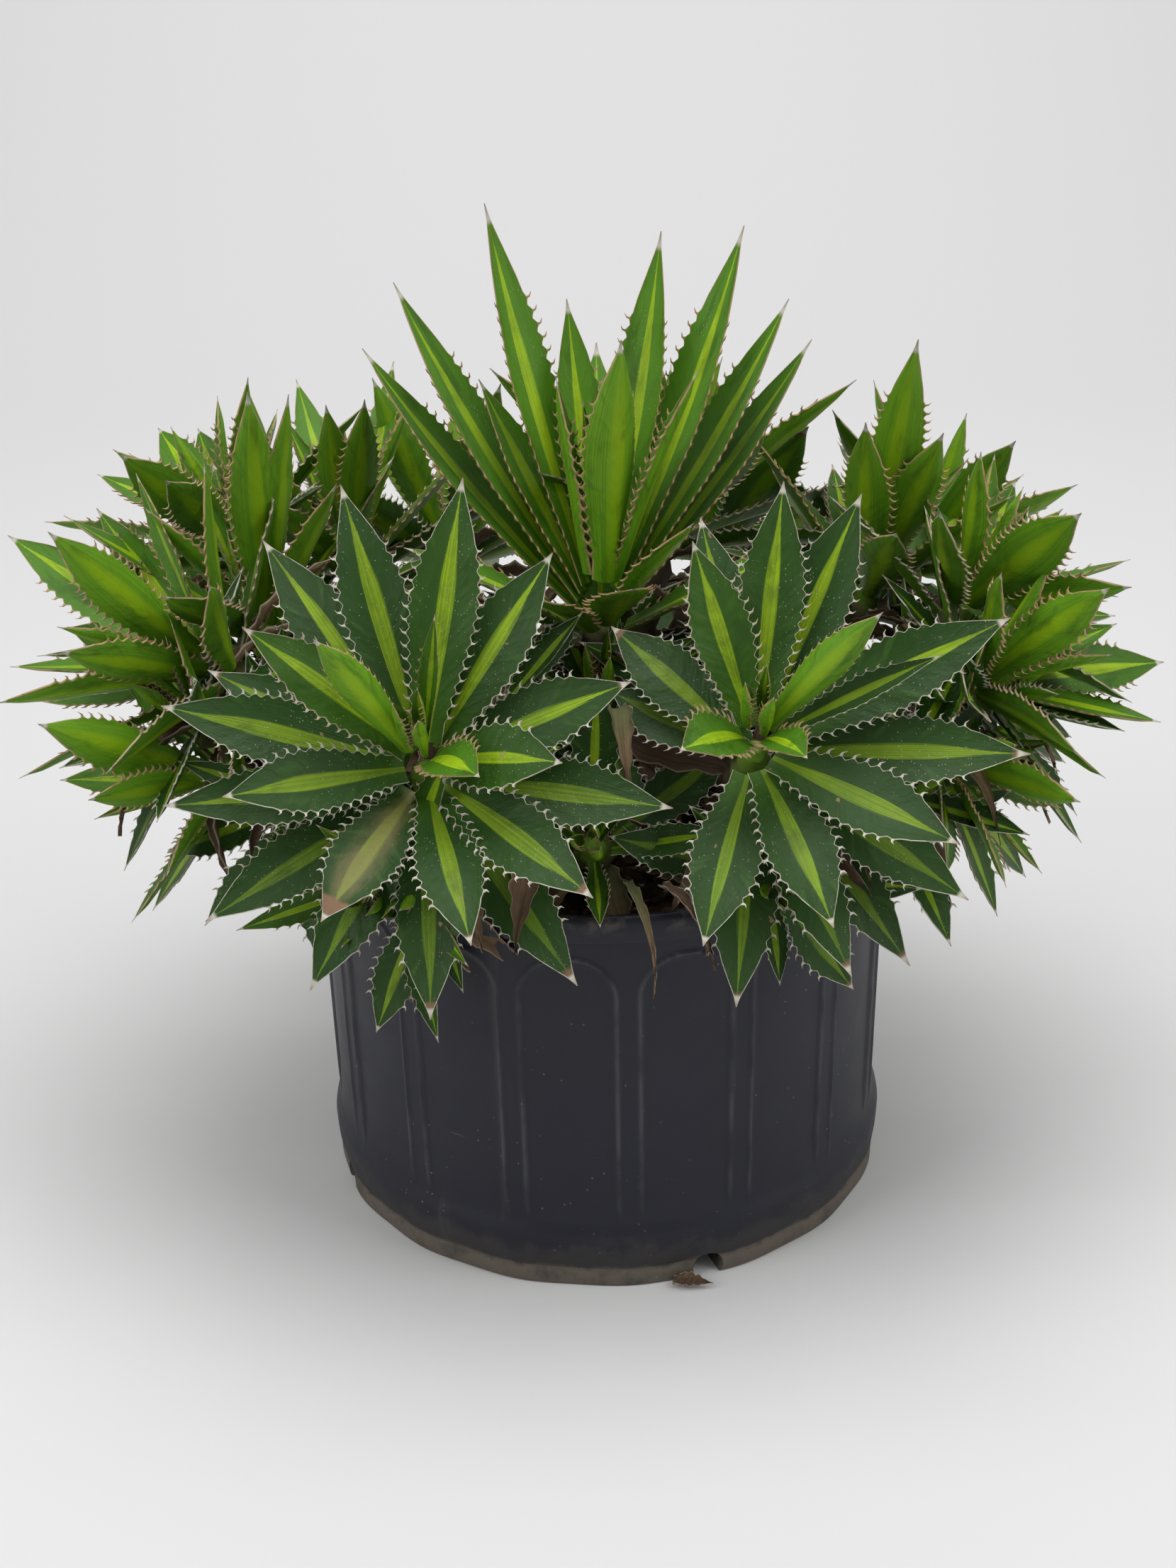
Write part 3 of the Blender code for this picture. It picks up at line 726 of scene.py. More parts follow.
def makeLeafMaterial(dustGroup):
    material, shader = newMaterial("leafSkin", 0.4, 0.24)
    place = parts(noted("bladePlace")["Vector"])
    life = parts(noted("bladeLife")["Vector"])
    upper = ramp(noted("bladeUpper")["Fac"], 0.3, 0.7)
    side, share, gap = place
    age, seed, worn = life
    here = inObject()
    luck = times(seed, 37.0)
    flat = put("CombineXYZ", (side, share, luck)).outputs[0]
    off = sums("ABSOLUTE", side)

    # the stripe: feathered, narrowing to the tip
    streaks = noise(stretched(flat, (26.0, 1.1, 1.0)), 1.0, 3.0, 0.6)
    wander = noise(stretched(flat, (0.4, 2.4, 1.0)), 1.0, 1.0)
    taper = times(ramp(share, 0.58, 0.98, 1.0, 0.28), ramp(share, 0.0, 0.3, 0.72, 1.0))
    halfStripe = times(taper, timesPlus(seed, 0.08, leafSkin["stripeHalf"] - 0.04))
    shifted = sums("ABSOLUTE", timesPlus(minus(wander, 0.5), 0.05, side))
    reach = minus(halfStripe, timesPlus(minus(streaks, 0.5), 0.20, shifted))
    stripe = ramp(reach, -0.035, 0.035)
    thread = ramp(noise(stretched(flat, (44.0, 0.9, 1.0)), 1.0, 2.0), 0.38, 0.62, 0.60, 1.0)
    stripeShow = times(stripe, times(thread, ramp(upper, 0.0, 1.0, 0.0, 1.0)))

    # greens: the heart of the plant is fresher than its old leaves
    fresh = ramp(age, 0.12, 0.62, 1.0, 0.0)
    mottle = noise(here, 34.0, 4.0, 0.6)
    dark = blend(fresh, leafSkin["dark"], leafSkin["fresh"])
    dark = blend(times(mottle, 0.5), dark, leafSkin["mottle"])
    dark = blend(times(ramp(share, 0.30, 0.0), 0.45), dark, leafSkin["foot"])
    bright = blend(fresh, leafSkin["stripe"], leafSkin["stripeFresh"])
    bright = blend(ramp(age, 0.74, 1.0, 0.0, 0.62), bright, leafSkin["stripeOld"])
    bright = blend(ramp(mottle, 0.42, 0.66, 0.0, 0.35), bright, leafSkin["stripeDim"])
    top = blend(stripeShow, dark, bright)
    back = blend(ramp(age, 0.10, 0.72, 1.0, 0.0), leafSkin["back"], leafSkin["backFresh"])
    lines = noise(stretched(flat, (34.0, 1.6, 1.0)), 1.0, 2.0, 0.6)
    back = blend(times(ramp(lines, 0.40, 0.62), 0.40), back, leafSkin["backLine"])
    glow = times(ramp(plus(off, times(streaks, 0.3)), 0.26, 0.58, 0.78, 0.0), taper)
    back = blend(glow, back, leafSkin["backGlow"])
    colour = blend(upper, back, top)
    printed = noise(put("CombineXYZ", (
        times(off, 1.5),
        timesPlus(off, -2.2, times(share, 17.0)),
        luck,
    )).outputs[0], 1.0, 2.0, 0.5)
    printShow = times(ramp(printed, 0.56, 0.70, 0.0, 0.42), ramp(off, 0.25, 0.6))
    colour = blend(printShow, colour, leafSkin["printed"])
    shade = noise(stretched(flat, (1.3, 4.0, 1.0)), 1.0, 4.0, 0.6)
    colour = blend(ramp(shade, 0.50, 0.72, 0.0, 0.45), colour, leafSkin["shade"])

    gloom = times(ramp(seed, 0.25, 1.0, 0.0, 0.36), ramp(age, 0.30, 0.75))
    colour = blend(gloom, colour, leafSkin["gloom"])

    # wear: specks of dust, tan scars, sun-bleached worn leaves, dry tips
    dust = useGroup(dustGroup, here, 640.0, 0.30, 30.0, 0.20)
    old = ramp(age, 0.2, 0.9)
    haze = times(dust["Haze"], old)
    colour = blend(times(haze, 0.32), colour, leafSkin["haze"])
    specks = times(dust["Specks"], times(upper, 0.75))
    colour = blend(specks, colour, leafSkin["dust"])
    blotch = noise(stretched(flat, (1.6, 5.0, 1.0)), 1.0, 5.0, 0.7)
    wornShow = timesPlus(minus(blotch, 0.5), 1.1, off)
    wornShow = times(ramp(worn, 0.6, 1.0, 0.0, 0.62), ramp(wornShow, 0.85, -0.10))
    wornShow = times(wornShow, ramp(share, 0.98, 0.70))
    colour = blend(wornShow, colour, leafSkin["worn"])
    scars = ramp(noise(here, 150.0, 2.0), 0.735, 0.77)
    colour = blend(times(scars, old), colour, leafSkin["scar"])
    dryEdge = minus(0.985, times(worn, 0.16))
    dryShow = ramp(timesPlus(minus(mottle, 0.5), 0.10, share), dryEdge, plus(dryEdge, 0.03))
    dryShow = times(dryShow, ramp(worn, 0.15, 0.4))
    colour = blend(dryShow, colour, leafSkin["dry"])

    # the horny margin, its teeth and the end spine
    ragged = timesPlus(minus(noise(here, 700.0, 1.0), 0.5), 0.35, gap)
    horn = ramp(ragged, 0.22, 0.45, 1.0, 0.0)
    hornColour = blend(ramp(age, 0.28, 0.60, 0.0, 1.0), leafSkin["hornYoung"], leafSkin["horn"])
    hornColour = blend(ramp(noise(here, 130.0, 3.0), 0.50, 0.68, 0.0, 0.6), hornColour, leafSkin["hornStain"])
    colour = blend(horn, colour, hornColour)
    spine = ramp(share, 0.935, 0.955)
    spineColour = blend(ramp(share, 0.95, 1.0), leafSkin["horn"], leafSkin["spine"])
    colour = blend(spine, colour, spineColour)
    feed(shader["Base Color"], colour)

    rough = timesPlus(noise(here, 60.0, 3.0), 0.22, 0.30)
    rough = plus(rough, times(sums("MAXIMUM", haze, horn), 0.25), clamp=True)
    feed(shader["Roughness"], rough)

    # ribbed grain along the leaf, and the prints that its neighbours left in the bud
    grain = noise(stretched(flat, (30.0, 2.2, 1.0)), 1.0, 3.0, 0.6)
    height = timesPlus(grain, 0.45, timesPlus(printed, 1.3, times(specks, 0.35)))
    bumped(shader, height, 0.5, 0.0012)
    return material


# Pot: a squat black nursery pot with sixteen panels between double ribs

pot = dict(
    height=0.250,
    footRadius=0.1745,
    heelRadius=0.1765,
    heelTop=0.044,
    wallLow=0.1725,
    wallTop=0.1765,
    rimRadius=0.181,
    lip=0.0075,
    lipBottom=0.234,
    wall=0.003,
    panels=16,
    columns=960,
    ribHalf=0.0066,  # from the middle of a rib to each of its two beads
    beadWide=0.0013,
    beadTall=0.0013,
    panelDeep=0.0007,
    archTop=0.222,
    archRound=0.026,
    ribTurn=-86.1,  # degrees from +X to a rib
    drains=4,
    drainRadius=0.0095,
    drainTurn=-70.5,
)


def potWall(z):
    share = (z - pot["heelTop"]) / (pot["lipBottom"] - pot["heelTop"])
    return pot["wallLow"] + share * (pot["wallTop"] - pot["wallLow"])


def potProfile():
    # from the middle of the base, up the outside, over the lip and down the inside
    foot, heel, lip, wall = pot["footRadius"], pot["heelRadius"], pot["rimRadius"], pot["wall"]
    waist = potWall(pot["heelTop"])
    outside = [
        (0.08, 0.0), (0.160, 0.0), (foot - 0.0025, 0.0), (foot - 0.0006, 0.0007), (foot, 0.0025),
        (foot + 0.0002, 0.010), (foot - 0.0006, 0.0125), (foot + 0.0006, 0.0150), (foot + 0.0012, 0.022),
        (heel - 0.0003, 0.028), (heel, 0.034), (heel - 0.0008, 0.038),
        (waist + 0.0012, 0.0415), (waist, 0.046),
    ]
    outside += [(potWall(z), z) for z in np.arange(0.056, 0.190, 0.012)]
    outside += [(potWall(z), z) for z in np.arange(0.192, 0.2325, 0.0016)]
    outside += [
        (potWall(0.233) + 0.0002, 0.2328), (lip - 0.0022, 0.2332), (lip - 0.0006, 0.2342), (lip, 0.2362),
        (lip, 0.2465), (lip - 0.0007, 0.2488), (lip - 0.0024, 0.2500), (lip - 0.0055, 0.2498),
        (lip - 0.0068, 0.2482), (lip - pot["lip"] - 0.0003, 0.2440), (potWall(0.230) - wall, 0.2300),
    ]
    inside = [(potWall(z) - wall, z) for z in (0.215, 0.12, 0.05)]
    inside += [(foot - wall - 0.006, 0.004), (0.08, 0.004)]
    return outside + inside


def makePot():
    profile = potProfile()
    thing = added(
        "pot_shell", bpy.ops.mesh.primitive_circle_add,
        vertices=pot["columns"], radius=profile[0][0], fill_type="TRIFAN",
    )
    editMode()
    bpy.ops.mesh.select_all(action="DESELECT")
    objectMode()
    selectEdges(thing.data, beyond(0.07))
    editMode()
    for (radius, z), (nextRadius, nextZ) in zip(profile, profile[1:]):
        draw(z=nextZ - z)
        grow = nextRadius / radius
        bpy.ops.transform.resize(value=(grow, grow, 1), center_override=(0, 0, 0))
    bpy.ops.mesh.edge_face_add()
    turnFacesOut()

    # press the panels between the ribs, each with a bead round it and a round-shouldered top
    co = coordsOf(thing.data)
    x, y, z = co.T
    radius = np.hypot(x, y)
    turn = np.degrees(np.arctan2(y, x))
    each = 360 / pot["panels"]
    fromRib = (turn - pot["ribTurn"] + each / 2) % each - each / 2
    toMiddle = (each / 2 - np.abs(fromRib)) * math.pi / 180 * radius
    panelHalf = each / 2 * math.pi / 180 * radius - pot["ribHalf"]
    corner = pot["archRound"]
    dx = np.maximum(toMiddle - (panelHalf - corner), 0)
    dz = np.maximum(z - (pot["archTop"] - corner), 0)
    sideways = toMiddle - panelHalf
    inCorner = (dx > 0) & (dz > 0)
    away = np.where(inCorner, np.hypot(dx, dz) - corner, np.maximum(sideways, z - pot["archTop"]))
    outer = (radius > potWall(z) - 0.0004) & (z > 0.045) & (z < 0.2326)
    fade = ease(0.046, 0.062, z)
    bead = pot["beadTall"] * np.exp(-(away / pot["beadWide"]) ** 2)
    press = bead - pot["panelDeep"] * ease(0.0, -0.003, away)
    worn = 0.0004 * np.sin(np.radians(turn) * 3 + 1.0) * fade
    radiusNew = radius + np.where(outer, (press + worn) * fade, 0)
    # the bead crests, which the pot's material paints paler: rubbed wear and a painted highlight along each
    # bead
    writeNote(thing.data, "ribWearAndHighlight", np.where(outer, np.exp(-(away / 0.0011) ** 2) * fade, 0))
    flats = 0.0007 * np.cos(np.radians(turn - pot["ribTurn"]) * pot["panels"])
    foot = (z < 0.020) & (radius > pot["footRadius"] - 0.004)
    radiusNew = radiusNew - np.where(foot, 0.0007 - flats, 0)
    grow = np.where(radius > 1e-6, radiusNew / np.maximum(radius, 1e-6), 1)
    co[:, :2] *= grow[:, None]
    setCoords(thing.data, co)

    # drain notches at the foot, each a short bore
    bores = []
    for k in range(pot["drains"]):
        turn = math.radians(pot["drainTurn"] + 360 / pot["drains"] * k)
        reach = pot["footRadius"] - 0.006
        bores.append(added(
            f"bore_{k}", bpy.ops.mesh.primitive_cylinder_add,
            vertices=48, radius=pot["drainRadius"], depth=0.030,
            location=(reach * math.cos(turn), reach * math.sin(turn), 0.006), rotation=(0, math.pi / 2, turn),
        ))
    bore = joinPieces("bores", bores)
    cut = thing.modifiers.new("drains", "BOOLEAN")
    cut.operation = "DIFFERENCE"
    cut.solver = "EXACT"
    cut.object = bore
    applyAll(thing)
    bpy.data.objects.remove(bore)
    smoothFaces(thing, 38)
    print("pot shell", len(thing.data.polygons), "faces")
    return thing


potSkin = dict(
    black=(0.0055, 0.0058, 0.0130),
    blackPale=(0.0095, 0.0100, 0.0190),
    haze=(0.017, 0.017, 0.026),
    rib=(0.070, 0.070, 0.078),
    run=(0.062, 0.060, 0.060),
    dirt=(0.070, 0.062, 0.052),
    footDirt=(0.120, 0.102, 0.080),
    rimDirt=(0.120, 0.105, 0.086),
    speck=(0.22, 0.21, 0.19),
    scratch=(0.10, 0.10, 0.11),
)


def makePotMaterial(dustGroup):
    material, shader = newMaterial("blackPotPlastic", 0.5, 0.34)
    here = inObject()
    at = parts(here)
    dust = useGroup(dustGroup, here, 300.0, 0.10, 9.0, 0.6)
    colour = blend(noise(here, 14.0, 5.0, 0.6), potSkin["black"], potSkin["blackPale"])
    haze = times(dust["Haze"], 0.40)
    colour = blend(haze, colour, potSkin["haze"])
    # bead crests paler grey: partly rubbed wear, partly a painted highlight along the beads
    ribWearAndHighlight = times(noted("ribWearAndHighlight")["Fac"], ramp(noise(here, 30.0, 4.0), 0.35, 0.65, 0.1, 0.75))
    colour = blend(ribWearAndHighlight, colour, potSkin["rib"])
    # water runs: faint upright streaks under the rim
    runs = ramp(noise(stretched(here, (46.0, 46.0, 2.0)), 1.0, 3.0, 0.6), 0.60, 0.78)
    colour = blend(times(runs, 0.40), colour, potSkin["run"])
    # dry soil low on the wall and thick on the foot
    dirt = noise(here, 55.0, 6.0, 0.65)
    low = ramp(at[2], 0.050, 0.012)
    creep = ramp(timesPlus(low, 0.55, dirt), 0.72, 1.02)
    colour = blend(times(creep, 0.40), colour, potSkin["dirt"])
    foot = ramp(timesPlus(minus(dirt, 0.5), 0.016, at[2]), 0.0155, 0.0105)
    colour = blend(times(foot, ramp(dirt, 0.32, 0.56, 0.45, 0.96)), colour, potSkin["footDirt"])
    rim = times(ramp(at[2], 0.236, 0.249), ramp(dirt, 0.45, 0.62))
    colour = blend(times(rim, 0.6), colour, potSkin["rimDirt"])
    colour = blend(times(dust["Specks"], 0.5), colour, potSkin["speck"])
    scratch = noise(stretched(here, (9.0, 9.0, 420.0)), 1.0)
    scratchShow = times(ramp(scratch, 0.70, 0.74), ramp(noise(here, 12.0, 2.0), 0.55, 0.68))
    colour = blend(times(scratchShow, 0.5), colour, potSkin["scratch"])
    feed(shader["Base Color"], colour)
    rough = timesPlus(noise(here, 40.0, 4.0), 0.18, 0.36)
    rough = plus(rough, times(sums("MAXIMUM", creep, foot), 0.32), clamp=True)
    feed(shader["Roughness"], rough)
    height = timesPlus(noise(here, 420.0, 3.0), 0.25, times(sums("MAXIMUM", creep, foot), dirt))
    bumped(shader, height, 0.35, 0.0006)
    return material


# Soil: a bark and grit mix, heaped a little towards the middle

soil = dict(radius=0.1712, middle=0.006, heap=0.004, rings=26, chips=340, chipSize=(0.004, 0.013))


def soilHeap(radius):
    return soil["heap"] * (1 - (radius / soil["radius"]) ** 2)


def makeSoil():
    thing = added(
        "soil_top", bpy.ops.mesh.primitive_circle_add,
        vertices=96, radius=soil["middle"], fill_type="TRIFAN", location=(0, 0, soilTop),
    )
    bpy.ops.object.transform_apply()
    selectEdges(thing.data, beyond(0.004))
    editMode()
    sizes = np.linspace(soil["middle"], soil["radius"], soil["rings"] + 1)
    for size, target in zip(sizes, sizes[1:]):
        draw()
        grow = target / size
        bpy.ops.transform.resize(value=(grow, grow, 1), center_override=(0, 0, soilTop))
    draw(z=-0.012)
    bpy.ops.mesh.edge_face_add()
    turnFacesOut()
    co = coordsOf(thing.data)
    x, y = co[:, 0], co[:, 1]
    top = co[:, 2] > soilTop - 0.001
    radius = np.hypot(x, y)
    lump = 0.0020 * np.sin(x * 71 + 1) * np.sin(y * 63) + 0.0012 * np.sin(x * 190 + y * 160)
    grit = np.array([dice.uniform(-1, 1) for _ in range(len(co))]) * 0.0011
    co[:, 2] += np.where(top, soilHeap(radius) + (lump + grit) * ease(0.171, 0.150, radius), 0)
    setCoords(thing.data, co)
    smoothFaces(thing)

    # bark chips: one rough chip, copied
    chip = added("chip", bpy.ops.mesh.primitive_cube_add, size=1)
    editMode("FACE")
    bpy.ops.mesh.select_all(action="SELECT")
    bpy.ops.mesh.bevel(offset=0.16, segments=1)
    objectMode()
    master = coordsOf(chip.data)
    chips = []
    for k in range(soil["chips"]):
        one = copyOf(chip, f"chip_{k}")
        length = dice.uniform(*soil["chipSize"])
        size = np.array((length, length * dice.uniform(0.35, 0.7), length * dice.uniform(0.18, 0.35)))
        spin, tip = dice.uniform(0, 2 * math.pi), dice.uniform(-0.5, 0.5)
        cs, sn, ct, st = math.cos(spin), math.sin(spin), math.cos(tip), math.sin(tip)
        rough = np.array([[dice.uniform(0.75, 1.2) for _ in range(3)] for _ in range(len(master))])
        tipped = np.array(((ct, 0, -st), (0, 1, 0), (st, 0, ct)))
        spun = np.array(((cs, -sn, 0), (sn, cs, 0), (0, 0, 1)))
        points = master * rough * size @ tipped.T @ spun.T
        far, way = (soil["radius"] - 0.008) * math.sqrt(dice.random()), dice.uniform(0, 2 * math.pi)
        height = soilTop + soilHeap(far) + 0.0012
        setCoords(one.data, points + np.array((far * math.cos(way), far * math.sin(way), height)))
        chips.append(one)
    bpy.data.objects.remove(chip)
    litter = joinPieces("bark_chips", chips)
    print("soil and", soil["chips"], "chips")
    return thing, litter


def makeSoilMaterial(fibreGroup):
    material, shader = newMaterial("pottingMix", 0.95, 0.2)
    here = inObject()
    fibre = useGroup(fibreGroup, here, 210.0, 70.0)
    colour = blend(fibre["Fibre"], (0.016, 0.010, 0.006), (0.075, 0.050, 0.030))
    cells = put("TexVoronoi", {"Vector": here, "Scale": 190.0})
    tone = put("SeparateColor", (cells.outputs["Color"],)).outputs[0]
    colour = blend(ramp(tone, 0.55, 0.95), colour, (0.135, 0.085, 0.045))
    colour = blend(ramp(tone, 0.965, 0.975, 0.0, 0.8), colour, (0.42, 0.40, 0.36))
    feed(shader["Base Color"], colour)
    bumped(shader, plus(fibre["Height"], cells.outputs["Distance"]), 0.8, 0.002)
    return material


# Stems: short, thick, ringed with the scars and husks of old leaves

def stemLine(rosette, share):
    at, root = np.array(rosette["at"]), np.array((*rosette["root"], soilTop - 0.004))
    bend = root + np.array((0, 0, 0.45 * np.linalg.norm(at - root)))
    t = np.asarray(share)[..., None]
    return (1 - t) ** 2 * root + 2 * t * (1 - t) * bend + t * t * at


def makeStem(name, rosette):
    axis = rosetteAxis(rosette)
    at = np.array(rosette["at"])
    crown = rosette["crown"] * mm
    shares = np.linspace(0, 1, 22)
    levels = np.linspace(0.06, 0.50, 10)  # up the crown, where the stem ends among the leaves
    points = np.vstack((stemLine(rosette, shares), at + axis * crown * levels[:, None]))
    radii = [0.0118 + 0.0012 * math.sin(k * 2.1) + 0.0006 * (k % 2) for k in range(22)]
    radii = np.array(radii + [crownRadius(level) * (0.66 if level < 0.45 else 0.4) for level in levels])
    along = unit(np.gradient(points, axis=0))
    thing = added(
        name, bpy.ops.mesh.primitive_cylinder_add, vertices=20, radius=1, depth=1, end_fill_type="TRIFAN",
    )
    # more rings: the side is cut across once for each station
    editMode("FACE")
    for k in range(1, len(points) - 1):
        bpy.ops.mesh.select_all(action="SELECT")
        bpy.ops.mesh.bisect(plane_co=(0, 0, -0.5 + k / (len(points) - 1)), plane_no=(0, 0, 1))
    objectMode()
    co = coordsOf(thing.data)
    row = np.clip((co[:, 2] + 0.5) * (len(points) - 1), 0, len(points) - 1)
    level = np.rint(row).astype(int)
    side = unit(np.cross((0.3, 1.0, 0.2), axis))
    across = unit(side - (along @ side)[:, None] * along)
    other = np.cross(along, across)
    turn = np.arctan2(co[:, 1], co[:, 0])
    knobs = 1 + 0.07 * np.sin(turn * 5 + level * 2.4) + 0.04 * np.sin(turn * 9 - level)
    reach = np.hypot(co[:, 0], co[:, 1]) * radii[level] * knobs
    ring = np.cos(turn)[:, None] * across[level] + np.sin(turn)[:, None] * other[level]
    setCoords(thing.data, points[level] + reach[:, None] * ring)
    writeNote(thing.data, "crownShare", ease(19, 25, level.astype(float)))
    smoothFaces(thing)
    return thing


def makeStemMaterial(fibreGroup, dustGroup):
    material, shader = newMaterial("stemHusk", 0.85, 0.25)
    here = inObject()
    fibre = useGroup(fibreGroup, here, 130.0, 46.0)
    dust = useGroup(dustGroup, here, 500.0, 0.3, 40.0, 0.5)
    colour = blend(fibre["Fibre"], (0.045, 0.028, 0.016), (0.230, 0.165, 0.095))
    colour = blend(times(fibre["Stain"], 0.7), colour, (0.034, 0.020, 0.014))
    colour = blend(dust["Haze"], colour, (0.200, 0.160, 0.115))
    # painted shade: the whole stem is darkened evenly, as it stands in the shade under the leaves
    colour = blend(0.45, colour, (0.030, 0.020, 0.014))
    crown = noted("crownShare")["Fac"]
    leafBase = blend(fibre["Fibre"], (0.060, 0.130, 0.012), (0.150, 0.260, 0.020))
    colour = blend(crown, colour, leafBase)
    feed(shader["Base Color"], colour)
    bumped(shader, fibre["Height"], 0.7, 0.0015)
    return material


# Dry leaves: the lowest leaves of each rosette, shrivelled to papery husks that hang from its stem

husk = dict(length=(0.045, 0.105), width=(12, 24), curl=(0.8, 2.6), droop=(105, 160))


def makeHuskMaster():
    thing = added("husk_master", bpy.ops.mesh.primitive_grid_add, x_subdivisions=6, y_subdivisions=18, size=2)
    editMode("VERT")
    turnFacesOut()
    return thickened(thing, -1.0)


def layHusk(name, master, foot, out, axis, length, width, curl, droop):
    # out: the way it leaves the stem; it droops, twists and rolls up along its length
    luck = random.Random(name)
    thing = copyOf(master, name)
    mesh = thing.data
    co = coordsOf(mesh)
    low = co[:, 2].min()
    x, s, under = co[:, 0], (co[:, 1] + 1) / 2, co[:, 2] < (low + co[:, 2].max()) / 2
    belly = 0.55 + 0.55 * np.sin(np.pi * np.clip(s, 0, 1) ** 0.9)
    half = 0.5 * width * mm * belly * (1 - 0.86 * ease(0.66, 1.0, s))
    ragged = 1 + 0.16 * np.sin(s * 31 + luck.uniform(0, 6)) * np.abs(x)
    half *= ragged * (1 - 0.45 * ease(0.25, 0.8, s))
    fine = np.linspace(0, 1, 40)
    start = luck.uniform(50, 80)
    angle = np.radians(start + (droop - start) * fine ** 0.7)
    steps = (np.cos(angle)[:, None] * axis + np.sin(angle)[:, None] * out) * length / 39
    side = unit(np.cross(out, axis))
    wander = (luck.uniform(-0.25, 0.25) * np.sin(fine * luck.uniform(3, 7)))[:, None] * side * length / 39
    points = np.array(foot) + np.cumsum(steps + wander, axis=0)
    along = unit(np.gradient(points, axis=0))
    twist = luck.uniform(-1.4, 1.4) * fine ** 1.3
    across0 = unit(side - (along @ side)[:, None] * along)
    normal0 = np.cross(across0, along)
    across = np.cos(twist)[:, None] * across0 + np.sin(twist)[:, None] * normal0
    normal = np.cross(across, along)
    roll = curl * (0.4 + 0.6 * s)
    bow = half / roll
    reach = bow * np.sin(roll * x)
    rise = bow * (1 - np.cos(roll * x)) + 0.0008 * np.sin(s * 40 + x * 5 + luck.uniform(0, 6))
    rise = rise - np.where(under, 0.0007, 0.0)

    place, crosses, normals = (readAlong(s, fine, part) for part in (points, across, normal))
    setCoords(mesh, place + crosses * reach[:, None] + normals * rise[:, None])
    writeNote(mesh, "bladePlace", np.column_stack((x, s, np.full(len(s), luck.random()))))
    return thing


def makeHuskMaterial(fibreGroup):
    material, shader = newMaterial("dryLeaf", 0.8, 0.25)
    place = parts(noted("bladePlace")["Vector"])
    here = inObject()
    flat = put("CombineXYZ", (times(place[0], 0.20), times(place[1], 0.05), place[2])).outputs[0]
    fibre = useGroup(fibreGroup, flat, 60.0, 14.0)
    colour = blend(fibre["Fibre"], (0.085, 0.048, 0.024), (0.370, 0.260, 0.145))
    colour = blend(times(fibre["Stain"], 0.75), colour, (0.075, 0.042, 0.022))
    tone = ramp(place[2], 0.25, 0.75)
    colour = blend(times(tone, 0.6), colour, (0.060, 0.034, 0.026))
    green = times(ramp(place[2], 0.24, 0.14), ramp(place[1], 0.7, 0.2))
    colour = blend(times(green, 0.65), colour, (0.075, 0.110, 0.035))
    edge = ramp(sums("ABSOLUTE", place[0]), 0.88, 0.97)
    colour = blend(times(edge, 0.6), colour, (0.42, 0.35, 0.27))
    feed(shader["Base Color"], colour)
    height = plus(fibre["Height"], noise(here, 160.0, 3.0))
    bumped(shader, height, 0.6, 0.0012)
    return material


def husksOf(name, rosette, master, count):
    things = []
    luck = random.Random(name + " husks")
    for k in range(count):
        clock = (luck.uniform(0, 30) + goldenTurn * k) % 360
        axis, out = wayOut(rosette, clock)
        share = 1.0 - 0.55 * k / count
        foot = stemLine(rosette, np.array([share]))[0] + out * 0.010
        if foot[2] < soilTop + 0.012:
            continue
        length = luck.uniform(*husk["length"]) * (0.7 + 0.3 * share)
        things.append(layHusk(
            f"husk_{name}_{k}", master, foot, out, axis,
            length, luck.uniform(*husk["width"]), luck.uniform(*husk["curl"]), luck.uniform(*husk["droop"]),
        ))
    return things


# Build

def finishPiece(thing, material, nodes=()):
    thing.data.materials.clear()
    thing.data.materials.append(material)
    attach(thing, "root")
    if nodes:
        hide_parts(*nodes)


dustGroup = makeDustGroup()
fibreGroup = makeFibreGroup()
leafMaterial = makeLeafMaterial(dustGroup)
potMaterial = makePotMaterial(dustGroup)
soilMaterial = makeSoilMaterial(fibreGroup)
stemMaterial = makeStemMaterial(fibreGroup, dustGroup)
huskMaterial = makeHuskMaterial(fibreGroup)
print("materials made")

masters = {
    teeth: makeMaster(f"blade_{teeth}", teeth, length)
    for _, teeth, length in bladeSizes
}
huskMaster = makeHuskMaster()

wornLeaves = {
    ("front_left", 15): 1.0, ("front_left", 4): 0.35, ("front_left", 17): 0.4, ("front_left", 7): 0.25,
    ("front_left", 19): 0.55, ("front_left", 20): 0.5, ("front_left", 22): 0.3, ("front_left", 11): 0.2,
    ("front_right", 17): 0.45, ("front_right", 18): 0.35, ("front_right", 19): 0.5, ("front_right", 16): 0.2,
}

